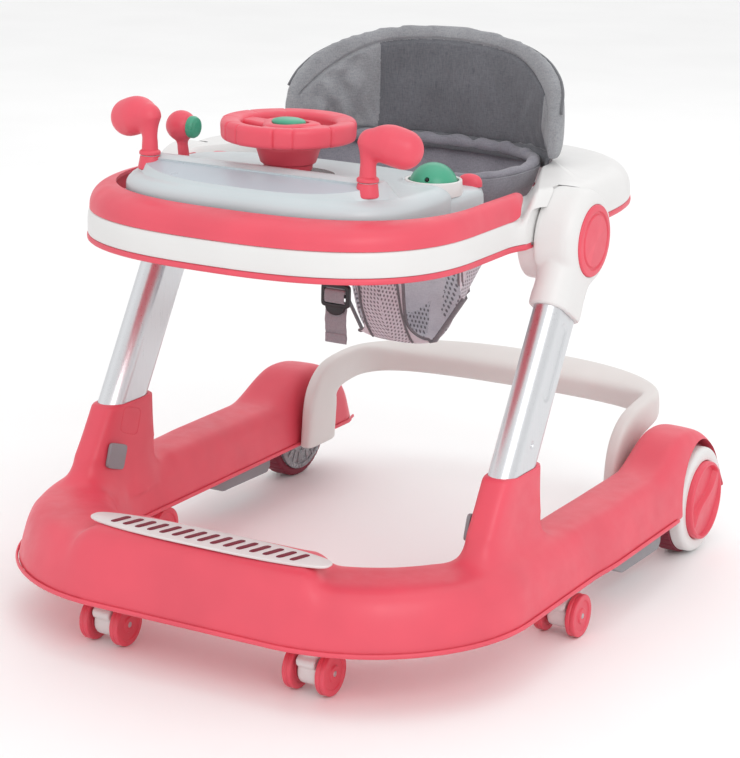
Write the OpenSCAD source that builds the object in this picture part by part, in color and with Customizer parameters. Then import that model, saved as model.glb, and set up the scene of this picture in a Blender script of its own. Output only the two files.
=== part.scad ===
// Folding baby walker: a U-shaped base on casters and two rear wheels, two leaning legs,
// a seat ring with a toy tray, a fabric seat and a rear push bar.
// Millimetres. +X is the child's left as seen from the front, -Y is the front, +Z is up.
// The origin is on the floor under the middle of the walker.

/* [Base] */
// Half the width of the base over its arms
base_half = 283; // [275:1:290]
// Half the clear width between the arms
bay_half = 204; // [200:1:208]
// Distance from the origin to the front of the bumper
bumper_front = 386; // [380:1:392]
// Depth of the bumper from front to back
bumper_depth = 111; // [105:1:116]
// Height of the lower edge of the base shell
shell_low = 58; // [57:0.5:60]
// Height of the arms' top
arm_top = 114; // [112:1:116]
// Height of the top of the rear wheel fenders
fender_top = 143; // [142:1:146]
// Wall of the moulded shells
wall = 3; // [2.5:0.1:3.5]

/* [Wheels] */
// Distance from the origin back to the rear axle
axle_y = 235; // [234:1:236]
// Radius of the rear wheels
wheel_r = 61; // [60:0.5:61.5]
// Radius of the caster wheels
caster_r = 22; // [21:0.5:23]

/* [Legs] */
// Angle by which the legs lean back from vertical
lean = 30.5; // [30:0.1:31]
// Distance of each leg's middle from the centre plane
leg_x = 229; // [228.5:0.1:229.5]
// Thickness of the leg tube
tube_t = 30; // [29:0.5:30]
// Width of the leg tube, front to back
tube_w = 60; // [58:1:60]
// Height of the towers' open top
tower_top = 191; // [188:1:194]
// Height of the fold pivot
pivot_z = 397; // [395:1:399]
// Distance of the fold pivot in front of the origin
pivot_front = 29; // [28:1:30]

/* [Seat ring and tray] */
// Half the width of the tray
tray_half = 200; // [198:1:202]
// Half the width of the seat ring
ring_half = 237; // [234:1:240]
// Distance from the origin to the front of the tray
tray_front = 345; // [340:1:350]
// Distance from the origin to the back of the seat ring
ring_back = 222; // [216:1:226]
// Height of the ring's lower edge
ring_low = 399; // [398.5:0.5:400]
// Height of the tray's deck
deck_z = 423; // [422:1:424]
// Height of the ring's top
ring_top = 447; // [445:1:450]

/* [Hidden] */
coral = [0.87, 0.33, 0.41];
white = [0.93, 0.93, 0.92];
grey = [0.80, 0.83, 0.84];
mid_grey = [0.52, 0.53, 0.55];
cloth = [0.55, 0.55, 0.57];
green = [0.28, 0.62, 0.49];
dark = [0.14, 0.14, 0.15];
steel = [0.72, 0.73, 0.75];
maroon = [0.45, 0.14, 0.19];
$fn = 64;
round_fn = 32;
fit = 0.05;
gap = 0.4;
pivot = [0, -pivot_front, pivot_z];

// ---- general shapes ----
function bow(c, n) = sign(c) * pow(abs(c), 2 / n);
function smooth(t) = let (k = max(0, min(1, t))) k * k * (3 - 2 * k);
function mix(a, b, t) = a + (b - a) * t;
// Closed superellipse outline with half axes a and b
function oval(a, b, n, count = 40) =
    [for (i = [0:count - 1]) [a * bow(cos(360 * i / count), n), b * bow(sin(360 * i / count), n)]];

// Solid through a list of rings that all have the same number of points
module skin(rings, closed = false) {
    m = len(rings[0]);
    k = len(rings);
    points = [for (r = rings) for (p = r) p];
    last = closed ? k - 1 : k - 2;
    sides = [for (i = [0:last]) for (j = [0:m - 1])
        each let (a = i * m + j, b = i * m + (j + 1) % m, c = ((i + 1) % k) * m + j,
            d = ((i + 1) % k) * m + (j + 1) % m) [[a, b, d], [a, d, c]]];
    caps = closed ? [] : [[for (j = [m - 1:-1:0]) j], [for (j = [0:m - 1]) (k - 1) * m + j]];
    polyhedron(points, concat(sides, caps), convexity = 8);
}

function reversed(v) = [for (i = [len(v) - 1:-1:0]) v[i]];
// Solid through level ovals, each given as [z, half x, half y, centre x, centre y, exponent]
module stack(levels) {
    skin([for (v = reversed(levels)) [for (p = oval(v[1], v[2], v[5], round_fn)) [v[3] + p[0], v[4] + p[1], v[0]]]]);
}

module tube_x(r, x0, x1) {
    translate([x0, 0, 0])
        rotate([0, 90, 0])
            cylinder(r = r, h = x1 - x0);
}

module at_pivot() {
    translate(pivot)
        children();
}

// Frame with its Z along the leg and its origin at the fold pivot
module along_leg() {
    at_pivot()
        rotate([-lean, 0, 0])
            children();
}

module both_sides() {
    children();
    mirror([1, 0, 0])
        children();
}

module side(s) {
    if (s > 0)
        children();
    else
        mirror([1, 0, 0])
            children();
}

// Flat-oval bar standing along Z
module flat_oval(t, w, z0, z1) {
    translate([0, 0, z0])
        linear_extrude(z1 - z0)
            union() {
                square([t, w - t], center = true);
                for (s = [-1, 1])
                    translate([0, s * (w - t) / 2])
                        circle(d = t);
            }
}

// ---- base shell ----
arm_back = 308;
outer_corner = 180;
inner_corner = 135;
outer_cx = base_half - outer_corner - 3;
outer_cy = -bumper_front + outer_corner;
inner_cx = bay_half - inner_corner;
inner_cy = -bumper_front + bumper_depth + inner_corner;
// Places of the stations along each arm, from its tail (0) to the front corner (1)
arm_stops = [0, 0.01, 0.03, 0.06, 0.1, 0.145, 0.19, 0.235, 0.28, 0.32, 0.37, 0.5, 0.67, 0.84];
tail_taper = 7;
corner_steps = 8;
front_steps = 4;
plinth_half = 138;
plinth_rise = 12;

// Height of the crown over the arm at distance y along it
function arm_crown(y) = y > 212
    ? shell_low + (fender_top - shell_low) * sqrt(max(0.002, 1 - pow((y - 212) / (arm_back - 211.8), 2)))
    : arm_top + (fender_top - arm_top) * smooth((y - 122) / 84);
function front_crown(x) = arm_top + 2 + plinth_rise * smooth((plinth_half + 14 - abs(x)) / 22);
// Stations from the back of the right arm to the middle of the bumper: [outer, inner, crown]
function right_stations() = concat(
    [for (t = arm_stops) let (yo = mix(arm_back, outer_cy, t), yi = mix(arm_back, inner_cy, t),
        f = tail_taper * smooth((yo - arm_back + 26) / 26))
        [[base_half - 3 * smooth((-yo) / 60) - f, yo], [bay_half + f, yi], arm_crown(mix(yo, yi, 0.5))]],
    [for (i = [0:corner_steps - 1]) let (a = -90 * i / corner_steps)
        [[outer_cx + outer_corner * cos(a), outer_cy + outer_corner * sin(a)],
         [inner_cx + inner_corner * cos(a), inner_cy + inner_corner * sin(a)],
         front_crown(outer_cx + outer_corner * cos(a))]],
    [for (i = [0:front_steps - 1]) let (k = 1 - i / front_steps)
        [[outer_cx * k, -bumper_front], [inner_cx * k, -bumper_front + bumper_depth],
         front_crown(outer_cx * k)]]);
function flip(s) = [[-s[0][0], s[0][1]], [-s[1][0], s[1][1]], s[2]];
function base_stations() = let (r = right_stations(), n = len(r))
    concat(r, [[[0, -bumper_front], [0, -bumper_front + bumper_depth], front_crown(0)]],
        [for (i = [n - 1:-1:0]) flip(r[i])]);
// Arched section between an outer and an inner plan point, taken in by t on every side
function arch(s, t, low) = let (w = norm(s[0] - s[1]), d = (s[0] - s[1]) / w)
    [for (i = [0:12]) let (a = 15 * i, h = pow(sin(a), 2 / 5), u = bow(cos(a), 5) / 2,
        slope = u > 0 ? 0.26 : 0.2, off = 0.5 + u * (1 - slope * h * (w - 2 * t) / w) * (w - 2 * t) / w,
        p = s[1] + d * w * off)
        [p[0], p[1], low + max(2, s[2] - t - low) * h]];

tower_levels = 8;
// Tower sections from inside the shell to the open top
function tower() = [for (i = [0:tower_levels]) let (k = i / tower_levels, f = pow(1 - k, 3),
    yf = mix(-190, -254, 1 - k) - 4 * f, yr = mix(-111, -105, 1 - k) + 8 * f)
    [mix(88, tower_top, k), 17 + 10 * f, (yr - yf) / 2, leg_x + 3 * f, (yf + yr) / 2, 4.5]];

module base_shell() {
    st = base_stations();
    color(coral)
        difference() {
            union() {
                skin(reversed([for (s = st) arch(s, 0, shell_low)]));
                both_sides()
                    stack(tower());
            }
            skin([for (i = [len(st) - 2:-1:1]) arch(st[i], wall, shell_low - 1)]);
            both_sides() {
                wheel_arch();
                tower_core();
                height_button_hole();
            }
        }
}

module wheel_arch() {
    translate([0, axle_y, wheel_r])
        tube_x(wheel_r + 6, base_half - 50, base_half + 20);
    translate([base_half - 50, axle_y - 20, 0])
        cube([70, 60, shell_low + 8]);
}

// Slanting channel that the leg slides in, open below for the lowered leg
module tower_core() {
    translate([leg_x, 0, 0])
        along_leg()
            flat_oval(tube_t + 2 * gap, tube_w + 2 * gap, -390, -180);
}

button_at = [-190, 139];
button_w = 30;
button_h = 27;
button_lean = 18;
module at_height_button(x) {
    translate([leg_x + x, button_at[0], button_at[1]])
        rotate([-button_lean, 0, 0])
            children();
}

module height_button_hole() {
    at_height_button(-40)
        cube_x(30, button_w + 1, button_h + 1);
}

// Box that starts at x = 0, centred on Y and Z
module cube_x(x, y, z) {
    translate([0, -y / 2, -z / 2])
        cube([x, y, z]);
}

module height_button(s) {
    color(mid_grey)
        side(s)
            at_height_button(-22)
                cube_x(3.8, button_w, button_h);
}

// ---- pieces on the base ----
module pedal_plate() {
    color(white)
        translate([0, -bumper_front + 52, arm_top + 2 + plinth_rise + 0.2])
            linear_extrude(2.8)
                polygon(oval(plinth_half - 3, 22, 5, 48));
}

module under_plan(inset) {
    difference() {
        union() {
            translate([-base_half + 3 + inset, outer_cy])
                square([2 * (base_half - 3 - inset), axle_y - wheel_r - 20 - outer_cy]);
            translate([-outer_cx, -bumper_front + inset])
                square([2 * outer_cx, outer_corner]);
            for (s = [-1, 1])
                translate([s * outer_cx, outer_cy])
                    circle(r = outer_corner - inset);
        }
        union() {
            translate([-bay_half - inset, inner_cy])
                square([2 * (bay_half + inset), 500]);
            translate([-inner_cx, -bumper_front + bumper_depth - inset])
                square([2 * inner_cx, inner_corner + 50]);
            for (s = [-1, 1])
                translate([s * inner_cx, inner_cy])
                    circle(r = inner_corner + inset);
        }
    }
}

caster_front = [117, -331];
caster_side = [251, -68];
module each_caster() {
    for (p = [caster_front, caster_side])
        for (s = [-1, 1])
            translate([s * p[0], p[1], 0])
                children();
}

cover_low = shell_low - 1;
module under_cover() {
    color(coral)
        difference() {
            translate([0, 0, cover_low])
                linear_extrude(2.5)
                    under_plan(wall + 2.4);
            each_caster()
                translate([0, 0, cover_low - 1])
                    cylinder(r = 14.2, h = 5);
            both_sides()
                tower_core();
        }
}

socket_low = 47;
module caster_sockets() {
    color(white)
        each_caster()
            difference() {
                union() {
                    translate([0, 0, socket_low])
                        cylinder(r = 14, h = 40);
                    translate([0, 0, socket_low])
                        cylinder(r = 16.5, h = cover_low - socket_low - 0.2);
                }
                translate([0, 0, socket_low - 1])
                    cylinder(r = 5 + fit, h = 36);
            }
}

axle_r = 6;
disc_in = 238;
module axle_brackets() {
    color(coral)
        both_sides()
            difference() {
                translate([bay_half + wall + 5, axle_y - 34, shell_low + 1])
                    cube([16, 68, 32]);
                translate([0, axle_y, wheel_r])
                    tube_x(axle_r, bay_half, disc_in);
            }
}

module rear_axles() {
    color(steel)
        both_sides()
            translate([0, axle_y, wheel_r])
                tube_x(axle_r, bay_half + wall + 3.3, base_half - 10);
}

module stop_pads() {
    color(mid_grey)
        both_sides()
            translate([base_half - 20, 0, 0])
                rotate([90, 0, 90])
                    translate([0, 0, -30])
                        linear_extrude(31)
                            polygon([[26, cover_low - 0.1], [26, 42], [52, 29], [148, 27],
                                [154, 33], [154, cover_low - 0.1]]);
}

module base_screws() {
    color(steel)
        for (p = [[60, -332], [190, -297], [264, -20], [264, 12]])
            for (s = [-1, 1])
                translate([s * p[0], p[1], cover_low - 2])
                    cylinder(r = 4, h = 1.9);
}

bar_pin = [212, 84];
bar_in = 184;
bar_out = 202.5;
module bar_pins() {
    color(steel)
        both_sides()
            translate([0, bar_pin[0], bar_pin[1]])
                tube_x(7, bar_in + 5, bay_half - 0.2);
}

// ---- rear wheels ----
tyre_in = disc_in + 2;
tyre_out = 262;
hub_r = 43.5;
module rear_wheel(s) {
    side(s)
        translate([0, axle_y, wheel_r])
            children();
}

// Disc about X with rounded rims
module round_disc(r, x0, x1, e) {
    rotate([0, 90, 0])
        rotate_extrude()
            difference() {
                translate([0, x0])
                    square([r, x1 - x0]);
                for (f = [0, 1])
                    translate([r - e, f == 0 ? x0 + e : x1 - e])
                        difference() {
                            translate([0, f == 0 ? -e - 1 : 0])
                                square([e + 1, e + 1]);
                            circle(r = e);
                        }
            }
}

module tyre(s) {
    color(maroon)
        rear_wheel(s)
            difference() {
                round_disc(wheel_r, tyre_in, tyre_out, 4);
                tube_x(52, tyre_in - 1, tyre_out + 1);
            }
}

module rim_ring(s) {
    color(white)
        rear_wheel(s)
            difference() {
                round_disc(wheel_r - 2.5, tyre_out + 0.1, 277, 7);
                tube_x(hub_r + 0.3, tyre_out - 1, 280);
            }
}

module hub_cap(s) {
    color(coral)
        rear_wheel(s)
            difference() {
                round_disc(hub_r, tyre_out + 0.1, 284, 3);
                tube_x(axle_r + fit, tyre_out - 1, base_half - 9);
            }
}

module spoke_disc(s) {
    color(grey)
        rear_wheel(s)
            difference() {
                union() {
                    tube_x(51.8, disc_in, disc_in + 3);
                    tube_x(13, disc_in, tyre_out);
                    difference() {
                        tube_x(51.8, disc_in, tyre_out);
                        tube_x(49, disc_in - 1, tyre_out + 1);
                    }
                    for (a = [0:60:300])
                        rotate([a, 0, 0])
                            translate([disc_in, -1.2, 10])
                                cube([tyre_out - disc_in - 4, 2.4, 40]);
                }
                tube_x(axle_r + fit, disc_in - 1, tyre_out + 1);
            }
}

// ---- casters: a swivelling fork with a pair of wheels on one axle ----
fork_x = 11;
wheel_x0 = 13;
wheel_x1 = 23;
caster_places = [
    [-caster_front[0], caster_front[1]], [caster_front[0], caster_front[1]],
    [-caster_side[0], caster_side[1]], [caster_side[0], caster_side[1]]
];
module at_caster(i) {
    translate([caster_places[i][0], caster_places[i][1], caster_r])
        children();
}

module caster_fork(i) {
    color(white)
        at_caster(i)
            difference() {
                union() {
                    tube_x(15, -fork_x, fork_x);
                    translate([0, 0, 4])
                        cylinder(r = 13, h = socket_low - caster_r - 4.3);
                    cylinder(r = 5, h = socket_low - caster_r + 33);
                }
                tube_x(3, -fork_x - 1, fork_x + 1);
            }
}

module caster_axle(i) {
    color(steel)
        at_caster(i)
            tube_x(3 - fit, -wheel_x1 - 0.5, wheel_x1 + 0.5);
}

module caster_wheels(i) {
    color(coral)
        at_caster(i)
            both_sides()
                difference() {
                    round_disc(caster_r, wheel_x0, wheel_x1, 3);
                    tube_x(3 - fit, wheel_x0 - 1, wheel_x1 + 1);
                }
}

// ---- rear push bar ----
bar_back = 386;
bar_mid = (bar_in + bar_out) / 2;
bar_turn = 264;
bar_tilt = 13;
// Ring of a rounded-box section: centre c, unit vectors u and v, half sizes a and b
function bar_ring(c, u, v, a, b) =
    [for (p = oval(a, b, 4, 20)) c + u * p[0] + v * p[1]];
function bar_side() = [
    for (z = [58, 61, 85, 108]) bar_ring([bar_mid, mix(195.5, 200, (z - 58) / 50), z], [1, 0, 0],
        [0, 1, 0], 9 - (z == 58 ? 1.5 : 0), 30.5 - (z == 58 ? 2 : 0))
];
function bar_rise() = [for (i = [1:5]) let (a = 13 * i,
    c = [bar_mid, 200 + 55 * (1 - cos(a)), 108 + 33 * sin(a)])
    bar_ring(c, [1, 0, 0], [0, cos(a * 1.1), -sin(a * 1.1)], 9, mix(30.5, 20, i / 5))];
function bar_corner() = [for (i = [0:9]) let (t = 10 * i,
    o = [(bar_out - 1.5) * bow(cos(t), 2.3), bar_turn + (bar_back - bar_turn) * bow(sin(t), 2.3)],
    n = [(bar_out - 20) * bow(cos(t), 2.5), bar_turn + (bar_back - 58 - bar_turn) * bow(sin(t), 2.5)],
    w = norm(o - n), d = (o - n) / w, k = smooth(i / 5), e = bar_tilt * k)
    bar_ring([(o[0] + n[0]) / 2, (o[1] + n[1]) / 2, mix(141, 141.5, k)], [d[0] * cos(e), d[1] * cos(e), sin(e)],
        [d[0] * sin(e), d[1] * sin(e), -cos(e)], w / 2, mix(18, 15, k))];

module push_bar() {
    half = concat(bar_side(), bar_rise(), bar_corner());
    n = len(half);
    color(white)
        difference() {
            skin(reversed(concat(half, [for (i = [n - 2:-1:0]) mirror_ring(half[i])])));
            translate([0, bar_pin[0], bar_pin[1]])
                both_sides()
                    tube_x(7 + fit, bar_in + 5, bar_out + 10);
        }
}

// ---- legs ----
tube_low = -308;
tube_high = 20;
module leg_tube(s) {
    color(steel)
        side(s)
            translate([leg_x, 0, 0])
                difference() {
                    along_leg()
                        flat_oval(tube_t, tube_w, tube_low, tube_high);
                    along_leg()
                        flat_oval(tube_t - 3.2, tube_w - 3.2, tube_low - 1, tube_high + 1);
                    at_pivot()
                        tube_x(8, -40, 40);
                }
}

ear_r = 50;
ear_in = 207;
ear_out = 250;
ear_round = 12;
rim_s = -79;
button_r = 36;
button_in = 246.8;
module leg_housing(s) {
    color(white)
        side(s)
            difference() {
                union() {
                    at_pivot() {
                        tube_x(ear_r, ear_in, ear_out - ear_round);
                        round_disc(ear_r, ear_in, ear_out, ear_round);
                    }
                    translate([(ear_in + ear_out) / 2, 0, 0])
                        along_leg()
                            flat_oval(ear_out - ear_in - 2, tube_w + 8, rim_s, 0);
                }
                translate([leg_x, 0, 0])
                    along_leg()
                        flat_oval(tube_t + 0.1, tube_w + 0.1, rim_s - 1, tube_high + 0.1);
                at_pivot() {
                    tube_x(8, ear_in - 1, ear_out + 1);
                    tube_x(button_r + 0.3, button_in - 3.4, ear_out + 1);
                }
            }
}

module pivot_shafts() {
    color(steel)
        both_sides()
            at_pivot()
                tube_x(8, 186, 244);
}

module release_button(s) {
    color(coral)
        side(s)
            at_pivot()
                difference() {
                    round_disc(button_r, button_in, ear_out + 2.5, 2.5);
                    difference() {
                        tube_x(27, ear_out + 1.3, ear_out + 4);
                        tube_x(25, ear_out + 1, ear_out + 5);
                    }
                }
}

// ---- seat ring ----
ring_mid = -10;
tray_mid = -180;
seat_mid = 38;
seat_half = 150;
seat_deep = 113;
ring_steps = 11;
// Plan outline of the ring at its right side, from the front middle to the back middle
function ring_edge(i) = i <= ring_steps
    ? let (a = -90 + 90 * i / ring_steps)
        [tray_half * bow(cos(a), 2.6), tray_mid + (tray_front + tray_mid) * bow(sin(a), 2.6)]
    : i <= 2 * ring_steps
        ? let (k = (i - ring_steps) / ring_steps)
            [mix(tray_half, ring_half, smooth((k - 0.35) / 0.65)), mix(tray_mid, ring_mid, k)]
        : let (a = 90 * (i - 2 * ring_steps) / ring_steps)
            [ring_half * bow(cos(a), 3), ring_mid + (ring_back - ring_mid) * bow(sin(a), 3)];
// Matching point on the edge of the seat opening
function seat_edge(i) = let (a = -90 + 180 * i / (3 * ring_steps))
    [seat_half * bow(cos(a), 3), seat_mid + seat_deep * bow(sin(a), 3)];
// The ring's lower edge steps up behind the legs
edge_lift = 14;
function lift(i) = edge_lift * smooth((i - 1.7 * ring_steps) / 3);
function crown_at(i) = mix(deck_z, ring_top, smooth((i - 1.45 * ring_steps) / 1.6));
// Section from the outer lower edge over the crown to the seat opening, taken in by t
function ring_section(i, t, low) = let (o = ring_edge(i), n = seat_edge(i), w = norm(n - o),
    d = (n - o) / w, top = crown_at(i) - t, run = i < 1.45 * ring_steps ? 5 : 34)
    concat([[o[0] + d[0] * t, o[1] + d[1] * t, low + lift(i)]],
        [for (a = [0:15:90]) let (u = t + run * (1 - pow(cos(a), 0.8)))
            [o[0] + d[0] * u, o[1] + d[1] * u, mix(ring_low + 10 + lift(i) / 2, top, pow(sin(a), 0.8))]],
        [for (q = [[w - t - 0.5, top], [w - t, top - 3], [w - t, low + lift(i)]])
            [o[0] + d[0] * q[0], o[1] + d[1] * q[0], q[1]]]);
function mirror_ring(r) = [for (p = r) [-p[0], p[1], p[2]]];
function ring_loop(t, low) = let (n = 3 * ring_steps, r = [for (i = [0:n]) ring_section(i, t, low)])
    concat(r, [for (i = [n - 1:-1:1]) mirror_ring(r[i])]);

module ring_shell() {
    color(white)
        difference() {
            skin(ring_loop(0, ring_low), true);
            skin(ring_loop(wall, ring_low - 1), true);
            both_sides() {
                at_pivot()
                    tube_x(ear_r + 1, ear_in - 1, ear_out + 40);
                sleeve_sweep();
            }
        }
}

// Room that the leg's sleeve takes while the ring folds forward
module sleeve_sweep() {
    for (a = [0:7.5:60])
        at_pivot()
            rotate([-a, 0, 0])
                rotate([-lean, 0, 0])
                    hull()
                        translate([ear_in - 1, 0, -90])
                            cube_x(80, tube_w + 10, 180);
}

// L-shaped section under the ring: a lip along the outer edge and a plate towards the seat
rim_plate = 2.5;
rim_lip = 7;
rim_low = ring_low - 6;
rim_top = ring_low - 0.2;
boss_r = 44;
function rim_section(i) = let (o = ring_edge(i), n = seat_edge(i), w = norm(n - o), d = (n - o) / w)
    [for (q = [[0, rim_low], [0, rim_top], [rim_lip, rim_top], [rim_lip, rim_low + rim_plate],
        [w - 4, rim_low + rim_plate], [w - 4, rim_low]])
        [o[0] + d[0] * q[0], o[1] + d[1] * q[0], q[1] + lift(i)]];
function rim_loop() = let (n = 3 * ring_steps, r = [for (i = [0:n]) rim_section(i)])
    concat(r, [for (i = [n - 1:-1:1]) mirror_ring(r[i])]);
module under_rim() {
    color(coral)
        difference() {
            skin(rim_loop(), true);
            for (s = [-1, 1]) {
                translate([s * (ear_in + 39), -pivot_front, ring_low])
                    cube([80, 124, 40], center = true);
                translate([s * (ear_in - 10), -pivot_front, ring_low])
                    cube([24, 2 * boss_r + 2, 30], center = true);
            }
        }
}

// Coral band: a curved skin round the front of the tray
band_end = 16;
band_inset = 2.5;
function band_section(i) = let (o = ring_edge(i), n = seat_edge(i), w = norm(n - o), d = (n - o) / w,
    h = ring_top - deck_z - 1.3, z = deck_z + 0.3)
    concat([for (a = [0:15:90]) let (u = band_inset + 33 * (1 - pow(cos(a), 0.8)))
            [o[0] + d[0] * u, o[1] + d[1] * u, z + h * pow(sin(a), 0.8)]],
        [for (a = [90:-15:0]) let (u = band_inset + wall + 30 * (1 - pow(cos(a), 0.8)))
            [o[0] + d[0] * u, o[1] + d[1] * u, z + (h - wall) * pow(sin(a), 0.8)]]);
module tray_band() {
    r = [for (i = [0:band_end]) band_section(i)];
    color(coral)
        skin(concat([for (i = [band_end:-1:1]) mirror_ring(r[i])], r));
}

toy_low = deck_z + 0.3;
toy_top = 460;
key_at = [143, -90];
key_z = 447;
module toy_tray() {
    color(grey)
        difference() {
            union() {
                stack(toy_levels(0));
                stack(toy_rise(0));
                both_sides()
                    stack(key_levels());
            }
            stack(toy_levels(wall));
            stack(toy_rise(wall));
            for (s = [-1, 1])
                translate([s * club_at[0], club_at[1], toy_low])
                    cylinder(r = 9, h = 80);
            translate([lever_at[0], lever_at[1], toy_top - 10])
                cylinder(r = 13, h = 20);
            translate([steer_at[0], steer_at[1], toy_low])
                cylinder(r = 12, h = 80);
            translate([dome_at[0], dome_at[1], toy_low])
                cylinder(r = 25.5, h = 80);
            translate([key_at[0], key_at[1], key_z - 12])
                cylinder(r = 6 + fit, h = 14);
        }
}

// Levels of the tray's body and of the raised panel along its front, taken in by t
function toy_levels(t) = [for (v = [[toy_low, 156, 105], [440, 158, 107], [448, 158, 107], [455, 154, 103],
    [toy_top, 146, 95]])
    [v[0] - t, v[1] - t, v[2] - t, 0, -195, 3]];
function toy_rise(t) = [for (v = [[toy_top - 4, 150, 39], [466, 141, 35], [473, 128, 29], [477, 108, 20]])
    [v[0] - t, v[1] - t, v[2] - t, 0, -262, 3]];
function key_levels() = [for (v = [[toy_low, 20, 30], [440, 19, 29], [key_z, 16, 26]])
    [v[0], v[1], v[2], 139, -104, 3]];

club_at = [121, -254];
club_foot = 476;
lever_at = [-134, -176, 452];
dome_at = [128, -138];
steer_at = [0, -196];
lug_in = 6;
lug_out = 11;
module toy_sockets() {
    color(grey)
        difference() {
            union() {
                for (s = [-1, 1])
                    translate([s * club_at[0], club_at[1], toy_low])
                        cylinder(r = 8.9, h = club_foot - toy_low);
                translate([steer_at[0], steer_at[1], toy_low])
                    cylinder(r = 11.9, h = toy_top + 2 - toy_low);
                translate([dome_at[0], dome_at[1], toy_low])
                    cylinder(r = 10, h = 33);
                translate(lever_at)
                    both_sides()
                        translate([lug_in, -6, toy_low - lever_at[2]])
                            cube([lug_out - lug_in, 12, lever_at[2] + 4.7 - toy_low]);
            }
            for (s = [-1, 1])
                translate([s * club_at[0], club_at[1], 452])
                    cylinder(r = 6 + fit, h = 60);
            translate([steer_at[0], steer_at[1], 438])
                cylinder(r = 7 + fit, h = 60);
            translate([dome_at[0], dome_at[1], 430])
                cylinder(r = 6 + fit, h = 60);
            translate(lever_at)
                tube_x(3 + fit, -20, 20);
        }
}

module pivot_bosses() {
    color(white)
        both_sides()
            at_pivot()
                difference() {
                    tube_x(boss_r, ear_in - 19, ear_in - 1);
                    tube_x(8 + fit, ear_in - 27, ear_in);
                    translate([ear_in - 30, -60, 22])
                        cube([17, 120, 40]);
                }
}

// ---- seat and straps ----
leg_hole_r = 31;
leg_hole_turn = 16.8;
module seat_sling() {
    color(cloth)
        difference() {
            skin([for (v = reversed(sling_levels(0))) sling_ring(v)]);
            translate([0, 0, wall])
                skin([for (v = reversed(sling_levels(4))) sling_ring(v)]);
            both_sides()
                translate([57, -2, 283])
                    rotate([0, 0, leg_hole_turn])
                        translate([0, 45, 0])
                            rotate([90, 0, 0])
                                linear_extrude(155)
                                    union() {
                                        circle(r = leg_hole_r, $fn = round_fn);
                                        translate([-leg_hole_r, 0])
                                            square([2 * leg_hole_r, 88]);
                                        translate([0, 88])
                                            circle(r = leg_hole_r, $fn = round_fn);
                                    }
        }
}

// Levels of the hammock, each [z, half width, depth to the front, depth to the back, middle y], taken in by t
function sling_levels(t) = [for (v = [[245, 28, 10, 16, 38], [252, 46, 16, 26, 34], [268, 62, 20, 36, 26],
    [290, 76, 22, 48, 16], [318, 88, 23, 62, 9], [345, 98, 42, 78, 18], [370, 111, 66, 88, 26],
    [400, 127, 88, 96, 32], [425, 139, 103, 104, 34], [444, 144, 109, 109, 35]])
    [v[0] + (v[0] > 443 ? t : 0), v[1] - t, v[2] - t, v[3] - t, v[4]]];
function sling_ring(v) = [for (i = [0:39]) let (a = 9 * i, c = bow(cos(a), 2.5), s = bow(sin(a), 2.5))
    [v[1] * c, v[4] + (s > 0 ? v[3] : v[2]) * s, v[0]]];

back_low = 449;
back_top = 571;
back_t = 26;
function back_ring(k) = let (a = -90 + 180 * k, f = bow(cos(a), 3.2), x = 154 * sin(a),
    y = 62 + 80 * cos(a), h = 34 + (back_top - back_low - 34) * f, n = [sin(a) * 0.75, cos(a)],
    m = n / norm(n))
    [for (p = oval(back_t / 2, h / 2, 3.5, 24))
        [x + m[0] * p[0], y + m[1] * p[0], back_low + h / 2 + p[1]]];
module seat_back() {
    color(cloth)
        skin([for (i = [24:-1:0]) back_ring(i / 24)]);
}

strap_w = 25;
strap_y = -100;
buckle_z = 312.2;
module crotch_strap() {
    color(mid_grey) {
        translate([-strap_w / 2, strap_y, 272])
            cube([strap_w, 1.6, buckle_z - 272.2]);
        translate([-strap_w / 2, strap_y, buckle_z + 19.8])
            cube([strap_w, 1.6, 60]);
    }
}

module strap_buckle() {
    color(dark)
        translate([-strap_w / 2 - 4, strap_y - 2, buckle_z])
            difference() {
                cube([33, 5, 19.6]);
                translate([4, -1, 7])
                    cube([strap_w, 7, 3]);
            }
}

module tray_screws() {
    color(steel)
        for (a = [-60:30:60])
            translate([150 * sin(a), -180 - 120 * cos(a), ring_low - 8])
                cylinder(r = 3.5, h = 1.8);
}

module oval_plate(a, b, h) {
    linear_extrude(h)
        polygon(oval(a, b, 2.2, 28));
}

module side_keys() {
    color(coral)
        translate([-key_at[0], key_at[1], key_z + 0.2])
            oval_plate(13, 7, 5);
}

// ---- toys ----
module steering_plate() {
    color([0.75, 0.72, 0.68])
        translate([0, steer_at[1] + 8, toy_top + 0.3])
            difference() {
                oval_plate(44, 28, 2.4);
                translate([0, -8, -1])
                    cylinder(r = 12.5, h = 6);
            }
}

wheel_z = 506;
wheel_rim = 56;
module steering_wheel() {
    color(coral)
        translate([steer_at[0], steer_at[1], 0])
            difference() {
                union() {
                    translate([0, 0, 440])
                        cylinder(r = 7, h = 35);
                    translate([0, 0, 467])
                        cylinder(r = 25, h = 21);
                    translate([0, 0, 486])
                        cylinder(r = 30, h = 23);
                    translate([0, 0, wheel_z])
                        rotate_extrude()
                            translate([wheel_rim, 0])
                                circle(r = 10);
                    for (a = [0, 180, 270])
                        rotate([0, 0, a])
                            translate([0, -10, wheel_z - 9])
                                cube([wheel_rim, 20, 14]);
                }
                translate([0, 0, 503])
                    cylinder(r = 17.5, h = 30);
                translate([0, 0, 490])
                    cylinder(r = 5, h = 20);
            }
}

module steering_button() {
    color(green)
        translate([steer_at[0], steer_at[1], 0]) {
            translate([0, 0, 507])
                cylinder(r = 17, h = 8);
            translate([0, 0, 495])
                cylinder(r = 5 - fit, h = 13);
        }
}

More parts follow.
